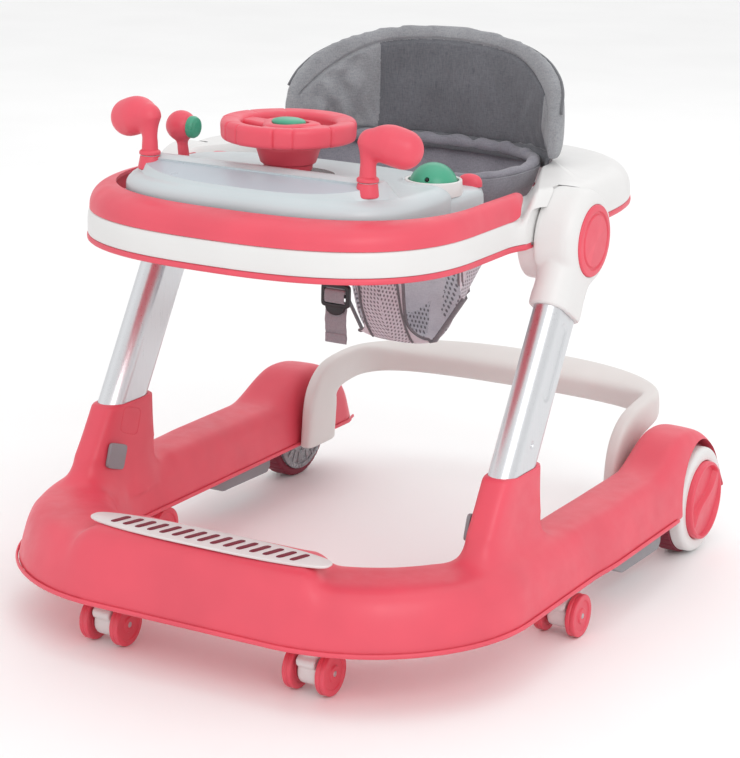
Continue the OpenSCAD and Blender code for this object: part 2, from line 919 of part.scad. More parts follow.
club_turn = 19;
module club(s) {
    color(coral)
        side(s)
            translate([club_at[0], club_at[1], 0])
                rotate([0, 0, club_turn]) {
                translate([0, 0, 453])
                    cylinder(r = 6, h = 30);
                translate([0, 0, club_foot + 0.3])
                    cylinder(r = 10.5, h = 3);
                translate([0, 0, club_foot + 2])
                    cylinder(r = 8, h = 32);
                hull() {
                    translate([3, 0, 513])
                        sphere(r = 13, $fn = round_fn);
                    translate([20, 0, 511])
                        sphere(r = 19, $fn = round_fn);
                    translate([33, 0, 508])
                        sphere(r = 18.5, $fn = round_fn);
                }
            }
}

module gear_lever() {
    color(coral)
        translate(lever_at) {
            tube_x(3, -11.4, 11.4);
            tube_x(8, -5, 5);
            translate([0, 0, 4])
                rotate([0, -6, 0])
                    cylinder(r = 5.5, h = 30);
            translate([-3, 0, 40])
                sphere(r = 15.5);
        }
}

module gear_disc() {
    color(green)
        translate(lever_at + [13, 0, 40])
            tube_x(11, 0, 3);
}

module dome_button() {
    color(green)
        translate([dome_at[0], dome_at[1], 0]) {
            translate([0, 0, toy_top - 6])
                intersection() {
                    sphere(r = 24);
                    translate([-30, -30, 6.5])
                        cube(60);
                }
            translate([0, 0, 444])
                cylinder(r = 6, h = toy_top - 440);
        }
}

module turn_key() {
    color(coral)
        translate([key_at[0], key_at[1], 0]) {
            translate([0, 0, key_z - 11])
                cylinder(r = 6, h = 17);
            translate([-3, -13, key_z + 3])
                cube([6, 26, 12]);
        }
}

base_shell();
pedal_plate();
under_cover();
caster_sockets();
axle_brackets();
rear_axles();
stop_pads();
base_screws();
bar_pins();
height_button(-1);  // height_button_left
height_button(1);  // height_button_right
tyre(-1);  // tyre_left
rim_ring(-1);  // rim_ring_left
hub_cap(-1);  // hub_cap_left
spoke_disc(-1);  // spoke_disc_left
tyre(1);  // tyre_right
rim_ring(1);  // rim_ring_right
hub_cap(1);  // hub_cap_right
spoke_disc(1);  // spoke_disc_right
caster_fork(0);  // caster_fork_fl
caster_axle(0);  // caster_axle_fl
caster_wheels(0);  // caster_wheels_fl
caster_fork(1);  // caster_fork_fr
caster_axle(1);  // caster_axle_fr
caster_wheels(1);  // caster_wheels_fr
caster_fork(2);  // caster_fork_sl
caster_axle(2);  // caster_axle_sl
caster_wheels(2);  // caster_wheels_sl
caster_fork(3);  // caster_fork_sr
caster_axle(3);  // caster_axle_sr
caster_wheels(3);  // caster_wheels_sr
push_bar();
leg_tube(-1);  // leg_tube_left
leg_tube(1);  // leg_tube_right
leg_housing(-1);  // leg_housing_left
leg_housing(1);  // leg_housing_right
pivot_shafts();
release_button(-1);  // release_button_left
release_button(1);  // release_button_right
ring_shell();
under_rim();
tray_band();
toy_tray();
toy_sockets();
pivot_bosses();
seat_sling();
seat_back();
crotch_strap();
strap_buckle();
tray_screws();
side_keys();
steering_plate();
steering_wheel();
steering_button();
club(-1);  // club_left
club(1);  // club_right
gear_lever();
gear_disc();
dome_button();
turn_key();
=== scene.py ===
import math

import bmesh
import bpy
import numpy as np
from mathutils import Matrix, Vector
from mathutils.bvhtree import BVHTree

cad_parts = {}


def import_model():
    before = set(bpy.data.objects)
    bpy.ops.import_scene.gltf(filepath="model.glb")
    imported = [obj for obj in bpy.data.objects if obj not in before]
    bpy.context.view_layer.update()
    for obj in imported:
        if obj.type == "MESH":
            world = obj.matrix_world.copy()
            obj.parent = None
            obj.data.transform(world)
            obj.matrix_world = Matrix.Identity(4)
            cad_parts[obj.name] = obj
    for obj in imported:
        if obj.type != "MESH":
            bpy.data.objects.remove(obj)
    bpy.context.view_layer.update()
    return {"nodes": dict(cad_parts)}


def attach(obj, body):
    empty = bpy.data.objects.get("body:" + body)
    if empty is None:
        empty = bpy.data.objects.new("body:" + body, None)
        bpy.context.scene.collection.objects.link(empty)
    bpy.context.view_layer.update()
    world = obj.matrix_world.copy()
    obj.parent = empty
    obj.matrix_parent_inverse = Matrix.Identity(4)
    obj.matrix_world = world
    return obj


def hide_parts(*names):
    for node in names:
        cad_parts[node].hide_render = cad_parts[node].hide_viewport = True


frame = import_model()
NODES = frame["nodes"]
MM = 0.001
LEAN = math.radians(30.5)
PIVOT = np.array([0.0, -29.0, 397.0])
PIVOT_AT = (0, PIVOT[1], PIVOT[2])
FLIP = Matrix.Scale(-1, 4, (1, 0, 0))
CLUB, DOME, KEY, WHEEL = (121, -254), (128, -138), (143, -90), (0.0, -196.0)
DOME_AT = (*DOME, 0)
CASTERS = {"fl": (-117, -331), "fr": (117, -331), "sl": (-251, -68), "sr": (251, -68)}

# ---------------------------------------------------------------- small maths


def bow(c, n):
    return np.sign(c) * np.abs(c) ** (2.0 / n)


def smooth(t):
    k = np.clip(t, 0, 1)
    return k * k * (3 - 2 * k)


def mix(a, b, t):
    return a + (b - a) * t


def oval(a, b, n, count=64, start=0.0):
    t = start + np.arange(count) * 2 * np.pi / count
    return np.stack([a * bow(np.cos(t), n), b * bow(np.sin(t), n)], 1)


def rng(seed):
    return np.random.default_rng(seed)


def lump(p, seed, scale, octaves=3):
    """Smooth random values in about -1..1 at points p, from a sum of seeded sine waves."""
    r = rng(seed)
    out = np.zeros(len(p))
    amp = 1.0
    for _ in range(octaves):
        for _ in range(4):
            d = r.normal(size=3)
            d /= np.linalg.norm(d)
            out += amp * np.sin(p @ d * 2 * np.pi / scale + r.uniform(0, 6.28)) / 4
        amp *= 0.5
        scale *= 0.55
    return out


# ---------------------------------------------------------------- mesh making


def obj(name, verts, faces, flat=False):
    """New mesh object from points in mm."""
    me = bpy.data.meshes.new(name)
    me.from_pydata([tuple(v) for v in np.asarray(verts, float) * MM], [], [tuple(int(i) for i in f) for f in faces])
    o = bpy.data.objects.new(name, me)
    bpy.context.scene.collection.objects.link(o)
    tidy_mesh(o, flat)
    return o


def tidy_mesh(o, flat=False):
    bm = bmesh.new()
    bm.from_mesh(o.data)
    bmesh.ops.remove_doubles(bm, verts=bm.verts, dist=1e-6)
    bmesh.ops.recalc_face_normals(bm, faces=bm.faces)
    for f in bm.faces:
        f.smooth = not flat
    bm.to_mesh(o.data)
    bm.free()


def sharp(o, angle=35):
    """Edges bent by more than the angle shade hard, and the rest shade smooth."""
    bm = bmesh.new()
    bm.from_mesh(o.data)
    lim = math.radians(angle)
    for f in bm.faces:
        f.smooth = True
    for e in bm.edges:
        e.smooth = not (len(e.link_faces) == 2 and e.calc_face_angle(0) > lim)
    bm.to_mesh(o.data)
    bm.free()
    return o


def loft(name, rings, closed=False, caps=True, wrap=True):
    """Skin through rings of the same number of points; closed joins the last ring to the first."""
    rings = [np.asarray(r, float) for r in rings]
    m, k = len(rings[0]), len(rings)
    faces = []
    for i in range(k if closed else k - 1):
        a0, b0 = i * m, ((i + 1) % k) * m
        for j in range(m if wrap else m - 1):
            j2 = (j + 1) % m
            faces.append((a0 + j, a0 + j2, b0 + j2, b0 + j))
    if caps and not closed and wrap:
        faces.append(tuple(range(m - 1, -1, -1)))
        faces.append(tuple(range((k - 1) * m, k * m)))
    return obj(name, np.concatenate(rings), faces)


def bake(o):
    """The object's modifiers become its mesh."""
    bpy.context.view_layer.update()
    dg = bpy.context.evaluated_depsgraph_get()
    me = bpy.data.meshes.new_from_object(o.evaluated_get(dg), depsgraph=dg)
    old = o.data
    o.modifiers.clear()
    o.data = me
    bpy.data.meshes.remove(old)
    return o


def cut(o, cutters, op="DIFFERENCE", solver="EXACT"):
    for c in cutters:
        m = o.modifiers.new("cut", "BOOLEAN")
        m.operation = op
        m.object = c
        m.solver = solver
    bake(o)
    for c in cutters:
        bpy.data.objects.remove(c)
    return o


def join(name, parts):
    """One object out of several."""
    bm = bmesh.new()
    for p in parts:
        me = p.data.copy()
        me.transform(p.matrix_world)
        bm.from_mesh(me)
        bpy.data.meshes.remove(me)
    me = bpy.data.meshes.new(name)
    bm.to_mesh(me)
    bm.free()
    o = bpy.data.objects.new(name, me)
    bpy.context.scene.collection.objects.link(o)
    for p in parts:
        bpy.data.objects.remove(p)
    return o


def voxel(o, size):
    return add_modifier(o, "REMESH", "voxel", mode="VOXEL", voxel_size=size * MM, adaptivity=0, use_smooth_shade=True)


def coords(o):
    co = np.zeros(len(o.data.vertices) * 3)
    o.data.vertices.foreach_get("co", co)
    return co.reshape(-1, 3) / MM


def put(o, co):
    o.data.vertices.foreach_set("co", (np.asarray(co) * MM).ravel())
    o.data.update()


def relax(o, times, weight=None):
    """Moves each point towards the middle of its neighbours; weight gives how much per point."""
    co = coords(o)
    e = np.zeros(len(o.data.edges) * 2, int)
    o.data.edges.foreach_get("vertices", e)
    e = e.reshape(-1, 2)
    n = np.bincount(e.ravel(), minlength=len(co)).astype(float)
    w = np.ones(len(co)) if weight is None else weight(co)
    for _ in range(times):
        s = np.zeros_like(co)
        np.add.at(s, e[:, 0], co[e[:, 1]])
        np.add.at(s, e[:, 1], co[e[:, 0]])
        co = co + 0.6 * w[:, None] * (s / np.maximum(n, 1)[:, None] - co)
    put(o, co)
    return o


def mirror_copy(o, name):
    c = o.copy()
    c.data = o.data.copy()
    c.name = name
    c.data.transform(FLIP)
    c.data.flip_normals()
    bpy.context.scene.collection.objects.link(c)
    return c


def mirror_x(o):
    """The piece drawn for the right side, turned over to the left."""
    o.data.transform(FLIP)
    tidy_mesh(o)


def flip_cutters(parts):
    for p in parts:
        p.data.transform(FLIP)
        p.data.flip_normals()


def add_modifier(o, kind, name, **settings):
    """Adds a modifier with its settings and makes it part of the mesh."""
    m = o.modifiers.new(name, kind)
    for k, v in settings.items():
        setattr(m, k, v)
    return bake(o)


def revolve(name, prof, count=96, axis="z", at=(0, 0, 0)):
    """Solid of revolution from (radius, along) points, closed on itself when radii are all above 0."""
    t = np.arange(count) * 2 * np.pi / count
    rings = []
    for a in t:
        c, s = math.cos(a), math.sin(a)
        ring = []
        for r, h in prof:
            p = {"z": (r * c, r * s, h), "x": (h, r * c, r * s), "y": (r * c, h, r * s)}[axis]
            ring.append(np.array(p) + np.array(at, float))
        rings.append(ring)
    return loft(name, rings, closed=True, caps=False, wrap=True)


def arc_prof(pts, rad, seg=6):
    """Closed outline with its corners rounded by the radii given (a number or one per corner)."""
    pts = [np.array(p, float) for p in pts]
    n = len(pts)
    out = []
    for i, p in enumerate(pts):
        r = rad[i] if hasattr(rad, "__len__") else rad
        a, b = pts[i - 1] - p, pts[(i + 1) % n] - p
        la, lb = np.linalg.norm(a), np.linalg.norm(b)
        if r <= 0:
            out.append(p)
            continue
        a, b = a / la, b / lb
        ang = math.acos(max(-1, min(1, float(a @ b))))
        d = min(r / math.tan(ang / 2), la * 0.49, lb * 0.49)
        q0, q1 = p + a * d, p + b * d
        for k in range(seg + 1):
            t = k / seg
            out.append((1 - t) ** 2 * q0 + 2 * t * (1 - t) * p + t * t * q1)
    return out


def tube(name, path, radius, sides=12, closed=False, squash=None, up=(0, 0, 1)):
    """Round or flattened tube along a path of points in mm."""
    path = np.asarray(path, float)
    n = len(path)
    rings = []
    for i in range(n):
        a = path[(i - 1) % n] if closed or i > 0 else path[0]
        b = path[(i + 1) % n] if closed or i < n - 1 else path[-1]
        t = (b - a) / (np.linalg.norm(b - a) + 1e-9)
        u = np.array(up[i] if np.ndim(up) == 2 else up, float)
        s = np.cross(t, u)
        s /= np.linalg.norm(s) + 1e-9
        v = np.cross(s, t)
        r = radius[i] if hasattr(radius, "__len__") else radius
        rx, ry = (r, r) if squash is None else (r * squash[0], r * squash[1])
        ang = np.arange(sides) * 2 * np.pi / sides
        rings.append(path[i] + rx * np.cos(ang)[:, None] * s + ry * np.sin(ang)[:, None] * v)
    return loft(name, rings, closed=closed, caps=not closed)


def box_mesh(name, lo, hi, r=1.0, seg=3):
    """Box with rounded edges."""
    lo, hi = np.array(lo, float), np.array(hi, float)
    v = [[(lo, hi)[i][0], (lo, hi)[j][1], (lo, hi)[k][2]] for i in (0, 1) for j in (0, 1) for k in (0, 1)]
    f = [(0, 1, 3, 2), (4, 6, 7, 5), (0, 4, 5, 1), (2, 3, 7, 6), (0, 2, 6, 4), (1, 5, 7, 3)]
    o = obj(name, v, f)
    bm = bmesh.new()
    bm.from_mesh(o.data)
    bmesh.ops.bevel(bm, geom=bm.edges[:], offset=r * MM, segments=seg, profile=0.5, affect="EDGES")
    for f in bm.faces:
        f.smooth = True
    bm.to_mesh(o.data)
    bm.free()
    return sharp(o, 40)


def prism(name, outline, z0, z1, r=0.8, seg=3):
    """Extruded plan outline with rounded top and bottom edges."""
    out = np.asarray(outline, float)
    c = out.mean(0)
    rings = []

    def ring(inset, z):
        d = out - c
        ln = np.linalg.norm(d, axis=1, keepdims=True)
        return np.column_stack([c + d * (1 - inset / np.maximum(ln, 1e-6)), np.full(len(out), z)])

    for k in range(seg + 1):
        a = math.pi / 2 * k / seg
        rings.append(ring(r * (1 - math.sin(a)), z0 + r * (1 - math.cos(a))))
    for k in range(seg + 1):
        a = math.pi / 2 * k / seg
        rings.append(ring(r * (1 - math.cos(a)), z1 - r + r * math.sin(a)))
    return loft(name, rings)


def along_leg(x, y, s):
    """Point from leg coordinates: across, front to back, and along the leg from the pivot."""
    x, y, s = np.broadcast_arrays(np.asarray(x, float), np.asarray(y, float), np.asarray(s, float))
    c, n = math.cos(LEAN), math.sin(LEAN)
    return np.stack([x + PIVOT[0], PIVOT[1] + y * c + s * n, PIVOT[2] - y * n + s * c], -1)


# ---------------------------------------------------------------- materials


class Mat:
    """Small helper round one node material."""

    def __init__(self, name):
        self.m = bpy.data.materials.new(name)
        self.m.use_nodes = True
        self.t = self.m.node_tree
        self.b = self.t.nodes["Principled BSDF"]
        self.co = self.add("ShaderNodeTexCoord").outputs["Object"]

    def add(self, kind, **kw):
        n = self.t.nodes.new(kind)
        for k, v in kw.items():
            setattr(n, k, v)
        return n

    def link(self, a, b):
        self.t.links.new(a, b)

    def scaled(self, s, rot=(0, 0, 0)):
        n = self.add("ShaderNodeMapping")
        n.inputs["Scale"].default_value = s if hasattr(s, "__len__") else (s, s, s)
        n.inputs["Rotation"].default_value = rot
        self.link(self.co, n.inputs["Vector"])
        return n.outputs["Vector"]

    def noise(self, scale, detail=3, rough=0.55, vec=None):
        n = self.add("ShaderNodeTexNoise")
        n.inputs["Scale"].default_value = scale
        n.inputs["Detail"].default_value = detail
        n.inputs["Roughness"].default_value = rough
        self.link(vec or self.co, n.inputs["Vector"])
        return n.outputs["Fac"]

    def ramp(self, fac, stops):
        n = self.add("ShaderNodeValToRGB")
        e = n.color_ramp.elements
        while len(e) < len(stops):
            e.new(0.5)
        for k, (p, c) in enumerate(stops):
            e[k].position = p
            e[k].color = c if len(c) == 4 else (*c, 1)
        self.link(fac, n.inputs["Fac"])
        return n.outputs["Color"]

    def span(self, fac, lo, hi, a=0.0, b=1.0):
        n = self.add("ShaderNodeMapRange")
        n.inputs["From Min"].default_value = a
        n.inputs["From Max"].default_value = b
        n.inputs["To Min"].default_value = lo
        n.inputs["To Max"].default_value = hi
        self.link(fac, n.inputs["Value"])
        return n.outputs["Result"]

    def math(self, op, a, b=0.0, c=None):
        n = self.add("ShaderNodeMath", operation=op)
        for i, v in enumerate((a, b, c)):
            if v is None:
                continue
            if isinstance(v, (int, float)):
                n.inputs[i].default_value = v
            else:
                self.link(v, n.inputs[i])
        return n.outputs[0]

    def mixc(self, fac, a, b, kind="MIX"):
        n = self.add("ShaderNodeMix", data_type="RGBA", blend_type=kind)
        for i, v in ((0, fac), (6, a), (7, b)):
            if isinstance(v, (int, float)):
                n.inputs[i].default_value = v
            elif isinstance(v, tuple):
                n.inputs[i].default_value = v if len(v) == 4 else (*v, 1)
            else:
                self.link(v, n.inputs[i])
        return n.outputs[2]

    def bump(self, h, strength, dist=0.0003, prev=None):
        n = self.add("ShaderNodeBump")
        n.inputs["Strength"].default_value = strength
        n.inputs["Distance"].default_value = dist
        self.link(h, n.inputs["Height"])
        if prev is not None:
            self.link(prev, n.inputs["Normal"])
        self.link(n.outputs["Normal"], self.b.inputs["Normal"])
        return n.outputs["Normal"]

    def set(self, **kw):
        for k, v in kw.items():
            s = self.b.inputs[k.replace("_", " ")]
            if isinstance(v, (int, float)) or isinstance(v, tuple):
                s.default_value = v if not (isinstance(v, tuple) and len(v) == 3) else (*v, 1)
            else:
                self.link(v, s)
        return self


def lin(r, g, b):
    """Linear colour from 0..255 screen values."""
    return tuple((c / 255 / 12.92) if c / 255 <= 0.04045 else ((c / 255 + 0.055) / 1.055) ** 2.4 for c in (r, g, b))


def dim(c, k):
    return tuple(v * k for v in c)


def plastic(name, color, rough=0.4, grain=900, bump=0.12, spec=0.5, vary=0.05, sss=0.0):
    """Satin moulded plastic: fine texture, faint flow marks, lighter worn edges."""
    m = Mat(name)
    flow = m.noise(14, 2)
    fine = m.noise(grain, 2)
    base = m.ramp(flow, [(0.3, dim(color, 1 - vary)), (0.7, dim(color, 1 + vary))])
    edge = m.add("ShaderNodeNewGeometry").outputs["Pointiness"]
    worn = m.span(edge, 0.0, 0.35, 0.54, 0.66)
    base = m.mixc(worn, base, tuple(min(1, c * 1.18 + 0.02) for c in color))
    m.set(Base_Color=base)
    m.set(Roughness=m.span(m.noise(60, 3), rough - 0.05, rough + 0.07, 0.3, 0.7))
    m.set(Specular_IOR_Level=spec)
    if sss:
        m.b.inputs["Subsurface Weight"].default_value = sss
        m.b.inputs["Subsurface Scale"].default_value = 0.004
    m.bump(fine, bump, 0.0001)
    return m.m


CORAL = lin(224, 80, 97)
WHITE = lin(224, 223, 222)
MATS = {}


def mat_table():
    MATS["coral"] = plastic("coral_plastic", CORAL, 0.42, 1100, 0.16, sss=0.02)
    MATS["white"] = plastic("white_plastic", WHITE, 0.4, 1100, 0.12, vary=0.015)
    MATS["bar_white"] = plastic("warm_white_plastic", lin(219, 216, 213), 0.44, 1000, 0.14, vary=0.02)
    MATS["tray"] = plastic("tray_plastic", lin(196, 205, 208), 0.34, 1200, 0.1, vary=0.02)
    MATS["panel"] = plastic("panel_plastic", lin(180, 190, 198), 0.32, 1200, 0.1, vary=0.02)
    MATS["grey"] = plastic("grey_plastic", lin(140, 142, 146), 0.5, 800, 0.2)
    MATS["green"] = plastic("green_plastic", lin(68, 160, 128), 0.32, 1200, 0.08)
    MATS["black"] = plastic("black_plastic", lin(38, 34, 38), 0.38, 900, 0.15, vary=0.1)
    MATS["hole"] = plastic("dark_recess", lin(30, 26, 28), 0.7, 500, 0.1, vary=0.1)
    MATS["tread"] = plastic("tread_rubber", lin(120, 40, 56), 0.62, 700, 0.3, spec=0.35, vary=0.1)
    # steel
    m = Mat("steel")
    m.set(Base_Color=m.ramp(m.noise(40, 3), [(0.3, (0.48, 0.48, 0.49)), (0.7, (0.62, 0.62, 0.63))]), Metallic=1.0)
    m.set(Roughness=m.span(m.noise(300, 2), 0.25, 0.42, 0.3, 0.7))
    m.bump(m.noise(900, 2), 0.1, 0.0001)
    MATS["steel"] = m.m
    # anodised tube, drawn along the leg
    m = Mat("satin_aluminium")
    v = m.scaled((900, 900, 16), (-LEAN, 0, 0))
    line = m.noise(1.0, 3, 0.6, v)
    m.set(Base_Color=m.ramp(line, [(0.25, (0.66, 0.67, 0.69)), (0.75, (0.71, 0.72, 0.74))]), Metallic=1.0)
    m.set(Roughness=m.span(line, 0.27, 0.33, 0.3, 0.7))
    m.set(Anisotropic=0.3)
    m.bump(line, 0.03, 0.0001)
    MATS["alu"] = m.m
    # translucent grey disc of the rear wheels
    m = Mat("smoky_disc")
    m.set(Base_Color=m.ramp(m.noise(30, 2), [(0.3, lin(150, 152, 156)), (0.7, lin(178, 180, 184))]))
    m.set(Roughness=m.span(m.noise(120, 2), 0.22, 0.34, 0.3, 0.7))
    m.set(Transmission_Weight=0.35, IOR=1.45)
    m.bump(m.noise(600, 2), 0.05, 0.0001)
    MATS["disc"] = m.m
    m = Mat("clear_plate")
    m.set(Base_Color=m.ramp(m.noise(20, 2), [(0.3, lin(170, 164, 158)), (0.7, lin(196, 190, 184))]))
    m.set(Roughness=m.span(m.noise(90, 2), 0.08, 0.16, 0.3, 0.7))
    m.set(Transmission_Weight=0.6, IOR=1.45)
    m.bump(m.noise(400, 2), 0.03, 0.0001)
    MATS["clear"] = m.m
    MATS["weave"] = woven("melange_light", lin(162, 163, 166), lin(132, 133, 138), 0.9)
    MATS["weave_dark"] = woven("melange_dark", lin(118, 119, 124), lin(92, 93, 99), 0.9, streak=True)
    MATS["lining"] = woven("seat_lining", lin(232, 232, 238), lin(214, 214, 222), 0.9)
    MATS["lining_grey"] = woven("grey_lining", lin(150, 148, 156), lin(124, 122, 131), 0.9)
    MATS["binding"] = woven("binding_tape", lin(138, 137, 142), lin(112, 111, 117), 0.85, fine=1500)
    MATS["piping"] = woven("seam_piping", lin(128, 129, 133), lin(98, 99, 104), 0.85, fine=1700)
    MATS["webbing"] = webbing()
    MATS["mesh"] = hex_mesh()


def woven(name, light, dark, rough, fine=1100, streak=False):
    """Melange cloth: crossed threads of two greys, with a soft sheen."""
    m = Mat(name)
    v = m.scaled((fine, fine, fine * (0.12 if streak else 0.35)))
    threads = m.noise(1.0, 4, 0.65, v)
    w = m.scaled((fine * 0.16, fine * 0.16, fine))
    cross = m.noise(1.0, 3, 0.6, w)
    both = m.math("ADD", m.math("MULTIPLY", threads, 0.6), m.math("MULTIPLY", cross, 0.4))
    base = m.ramp(both, [(0.36, dark), (0.5, mix(np.array(dark), np.array(light), 0.55).tolist()), (0.64, light)])
    soft = m.span(m.noise(18, 3), 0.86, 1.1, 0.3, 0.7)
    n = m.add("ShaderNodeVectorMath", operation="SCALE")
    m.link(base, n.inputs[0])
    m.link(soft, n.inputs["Scale"])
    m.set(Base_Color=n.outputs[0], Roughness=m.span(both, rough - 0.06, rough + 0.06, 0.3, 0.7))
    m.set(Specular_IOR_Level=0.25)
    m.b.inputs["Sheen Weight"].default_value = 0.25
    m.b.inputs["Sheen Roughness"].default_value = 0.5
    wx = m.add("ShaderNodeTexWave", wave_type="BANDS", bands_direction="DIAGONAL")
    wx.inputs["Scale"].default_value = 420
    wx.inputs["Distortion"].default_value = 1.2
    m.link(m.co, wx.inputs["Vector"])
    wz = m.add("ShaderNodeTexWave", wave_type="BANDS", bands_direction="Z")
    wz.inputs["Scale"].default_value = 380
    wz.inputs["Distortion"].default_value = 1.0
    m.link(m.co, wz.inputs["Vector"])
    h = m.math("MULTIPLY", wx.outputs["Fac"], wz.outputs["Fac"])
    h = m.math("ADD", h, m.math("MULTIPLY", both, 1.2))
    m.bump(h, 0.45, 0.0003)
    return m.m


def webbing():
    m = Mat("webbing_tape")
    wz = m.add("ShaderNodeTexWave", wave_type="BANDS", bands_direction="Z")
    wz.inputs["Scale"].default_value = 260
    wz.inputs["Distortion"].default_value = 0.3
    m.link(m.co, wz.inputs["Vector"])
    wx = m.add("ShaderNodeTexWave", wave_type="BANDS", bands_direction="X")
    wx.inputs["Scale"].default_value = 210
    wx.inputs["Distortion"].default_value = 0.3
    m.link(m.co, wx.inputs["Vector"])
    h = m.math("MAXIMUM", wz.outputs["Fac"], wx.outputs["Fac"])
    base = m.ramp(m.math("ADD", m.math("MULTIPLY", h, 0.5), m.math("MULTIPLY", m.noise(700, 3), 0.5)),
                  [(0.25, lin(120, 118, 124)), (0.75, lin(162, 160, 166))])
    m.set(Base_Color=base, Roughness=m.span(h, 0.7, 0.85))
    m.b.inputs["Sheen Weight"].default_value = 0.2
    m.bump(h, 0.5, 0.0003)
    return m.m


def hex_mesh():
    """Spacer mesh: staggered rows of small dark eyes in pale grey thread, by height and angle round the seat."""
    m = Mat("spacer_mesh")
    sep = m.add("ShaderNodeSeparateXYZ")
    m.link(m.co, sep.inputs[0])
    # rows across the height, columns round the seat
    u = m.math("MULTIPLY", m.math("ADD", m.math("ABSOLUTE", sep.outputs[0]), sep.outputs[1]), 235.0)
    v = m.math("MULTIPLY", sep.outputs[2], 215.0)
    row = m.math("FLOOR", v)
    odd = m.math("MODULO", m.math("ABSOLUTE", row), 2.0)
    uu = m.math("ADD", u, m.math("MULTIPLY", odd, 0.5))
    fu = m.math("SUBTRACT", m.math("FRACT", uu), 0.5)
    fv = m.math("SUBTRACT", m.math("FRACT", v), 0.5)
    d = m.math("SQRT", m.math("ADD", m.math("POWER", m.math("MULTIPLY", fu, 1.35), 2.0), m.math("POWER", fv, 2.0)))
    eye = m.span(d, 1.0, 0.0, 0.26, 0.4)
    thread = m.ramp(m.noise(900, 3), [(0.3, lin(196, 198, 206)), (0.7, lin(230, 231, 238))])
    base = m.mixc(eye, thread, lin(128, 129, 136))
    m.set(Base_Color=base, Roughness=m.span(m.noise(300, 2), 0.75, 0.9, 0.3, 0.7))
    m.set(Specular_IOR_Level=0.25)
    m.b.inputs["Sheen Weight"].default_value = 0.2
    inv = m.math("SUBTRACT", 1.0, eye)
    m.bump(inv, 0.8, 0.0008)
    return m.m


mat_table()


def paint(o, key):
    o.data.materials.clear()
    o.data.materials.append(MATS[key])
    return o


def piece(o, body, key, slot, *nodes):
    """Finishes a piece: material, body, and the CAD nodes it stands for. The record slot argument is not used."""
    if key:
        paint(o, key)
    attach(o, body)
    if nodes:
        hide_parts(*nodes)
    return o

# ---------------------------------------------------------------- base shell
HALF, BAY, FRONT, DEPTH, LOW, ARM_TOP, FENDER, TAIL = 283.0, 204.0, 386.0, 111.0, 58.0, 114.0, 143.0, 308.0
RO, RI = 180.0, 135.0
OCX, OCY = HALF - RO - 3, -FRONT + RO
ICX, ICY = BAY - RI, -FRONT + DEPTH + RI
AXLE = (235.0, 61.0)
LEG_X = 229.0
LOCK_LEAN = math.radians(18)


def arm_crown(y):
    if y > 212:
        return LOW + (FENDER - LOW) * math.sqrt(max(0.002, 1 - ((y - 212) / (TAIL - 211.8)) ** 2))
    return ARM_TOP + (FENDER - ARM_TOP) * float(smooth((y - 122) / 84))


def front_crown(x):
    return ARM_TOP + 2 + 12 * float(smooth((152 - abs(x)) / 22))


def base_stations(na=90, nc=30, nf=24):
    r = []
    for i in range(na):
        t = 1 - (1 - i / na) ** 1.5
        yo, yi = mix(TAIL, OCY, t), mix(TAIL, ICY, t)
        f = 7 * float(smooth((yo - TAIL + 26) / 26))
        r.append(((HALF - 3 * float(smooth(-yo / 60)) - f, yo), (BAY + f, yi), arm_crown(mix(yo, yi, 0.5))))
    for i in range(nc):
        a = -math.pi / 2 * i / nc
        ox = OCX + RO * math.cos(a)
        r.append(((ox, OCY + RO * math.sin(a)), (ICX + RI * math.cos(a), ICY + RI * math.sin(a)), front_crown(ox)))
    for i in range(nf):
        k = 1 - i / nf
        r.append(((OCX * k, -FRONT), (ICX * k, -FRONT + DEPTH), front_crown(OCX * k)))
    flip = [((-o[0], o[1]), (-n[0], n[1]), c) for o, n, c in r[::-1]]
    return r + [((0, -FRONT), (0, -FRONT + DEPTH), front_crown(0))] + flip


def arch(st, n=28):
    o, i, top = np.array(st[0]), np.array(st[1]), st[2]
    w = np.linalg.norm(o - i)
    d = (o - i) / w
    t = np.linspace(0, 1, n + 1)
    a = np.concatenate([90 * t ** 2.4, 180 - 90 * t[::-1][1:] ** 2.4])
    out = []
    for q in np.radians(a):
        h = math.sin(q) ** 0.4 if 0 < q < math.pi else 0.0
        h = 0.0 if math.sin(q) < 1e-9 else h
        u = float(bow(math.cos(q), 5)) / 2
        slope = 0.26 if u > 0 else 0.2
        p = i + d * w * (0.5 + u * (1 - slope * h))
        out.append((p[0], p[1], LOW + max(2.0, top - LOW) * h))
    return out


def tower_rings(n=26):
    rings = []
    for i in range(n + 1):
        k = i / n
        f = (1 - k) ** 3
        yf = mix(-190, -254, 1 - k) - 4 * f
        yr = mix(-111, -105, 1 - k) + 8 * f
        ring = oval(17 + 10 * f, (yr - yf) / 2, 4.5, 72)
        rings.append(np.column_stack([ring[:, 0] + LEG_X + 3 * f, ring[:, 1] + (yf + yr) / 2,
                                      np.full(72, mix(88, 191, k))]))
    return rings


def flat_oval(t, w, n=16):
    """Outline with half-round ends, thickness across x and width along y."""
    a = np.linspace(0, np.pi, n + 1)
    r = t / 2
    top = np.column_stack([r * np.cos(a), (w - t) / 2 + r * np.sin(a)])
    return np.concatenate([top, -top])


def leg_prism(name, t, w, s0, s1, x0, n=16):
    sec = flat_oval(t, w, n)
    return loft(name, [along_leg(sec[:, 0] + x0, sec[:, 1], s) for s in (s0, s1)])


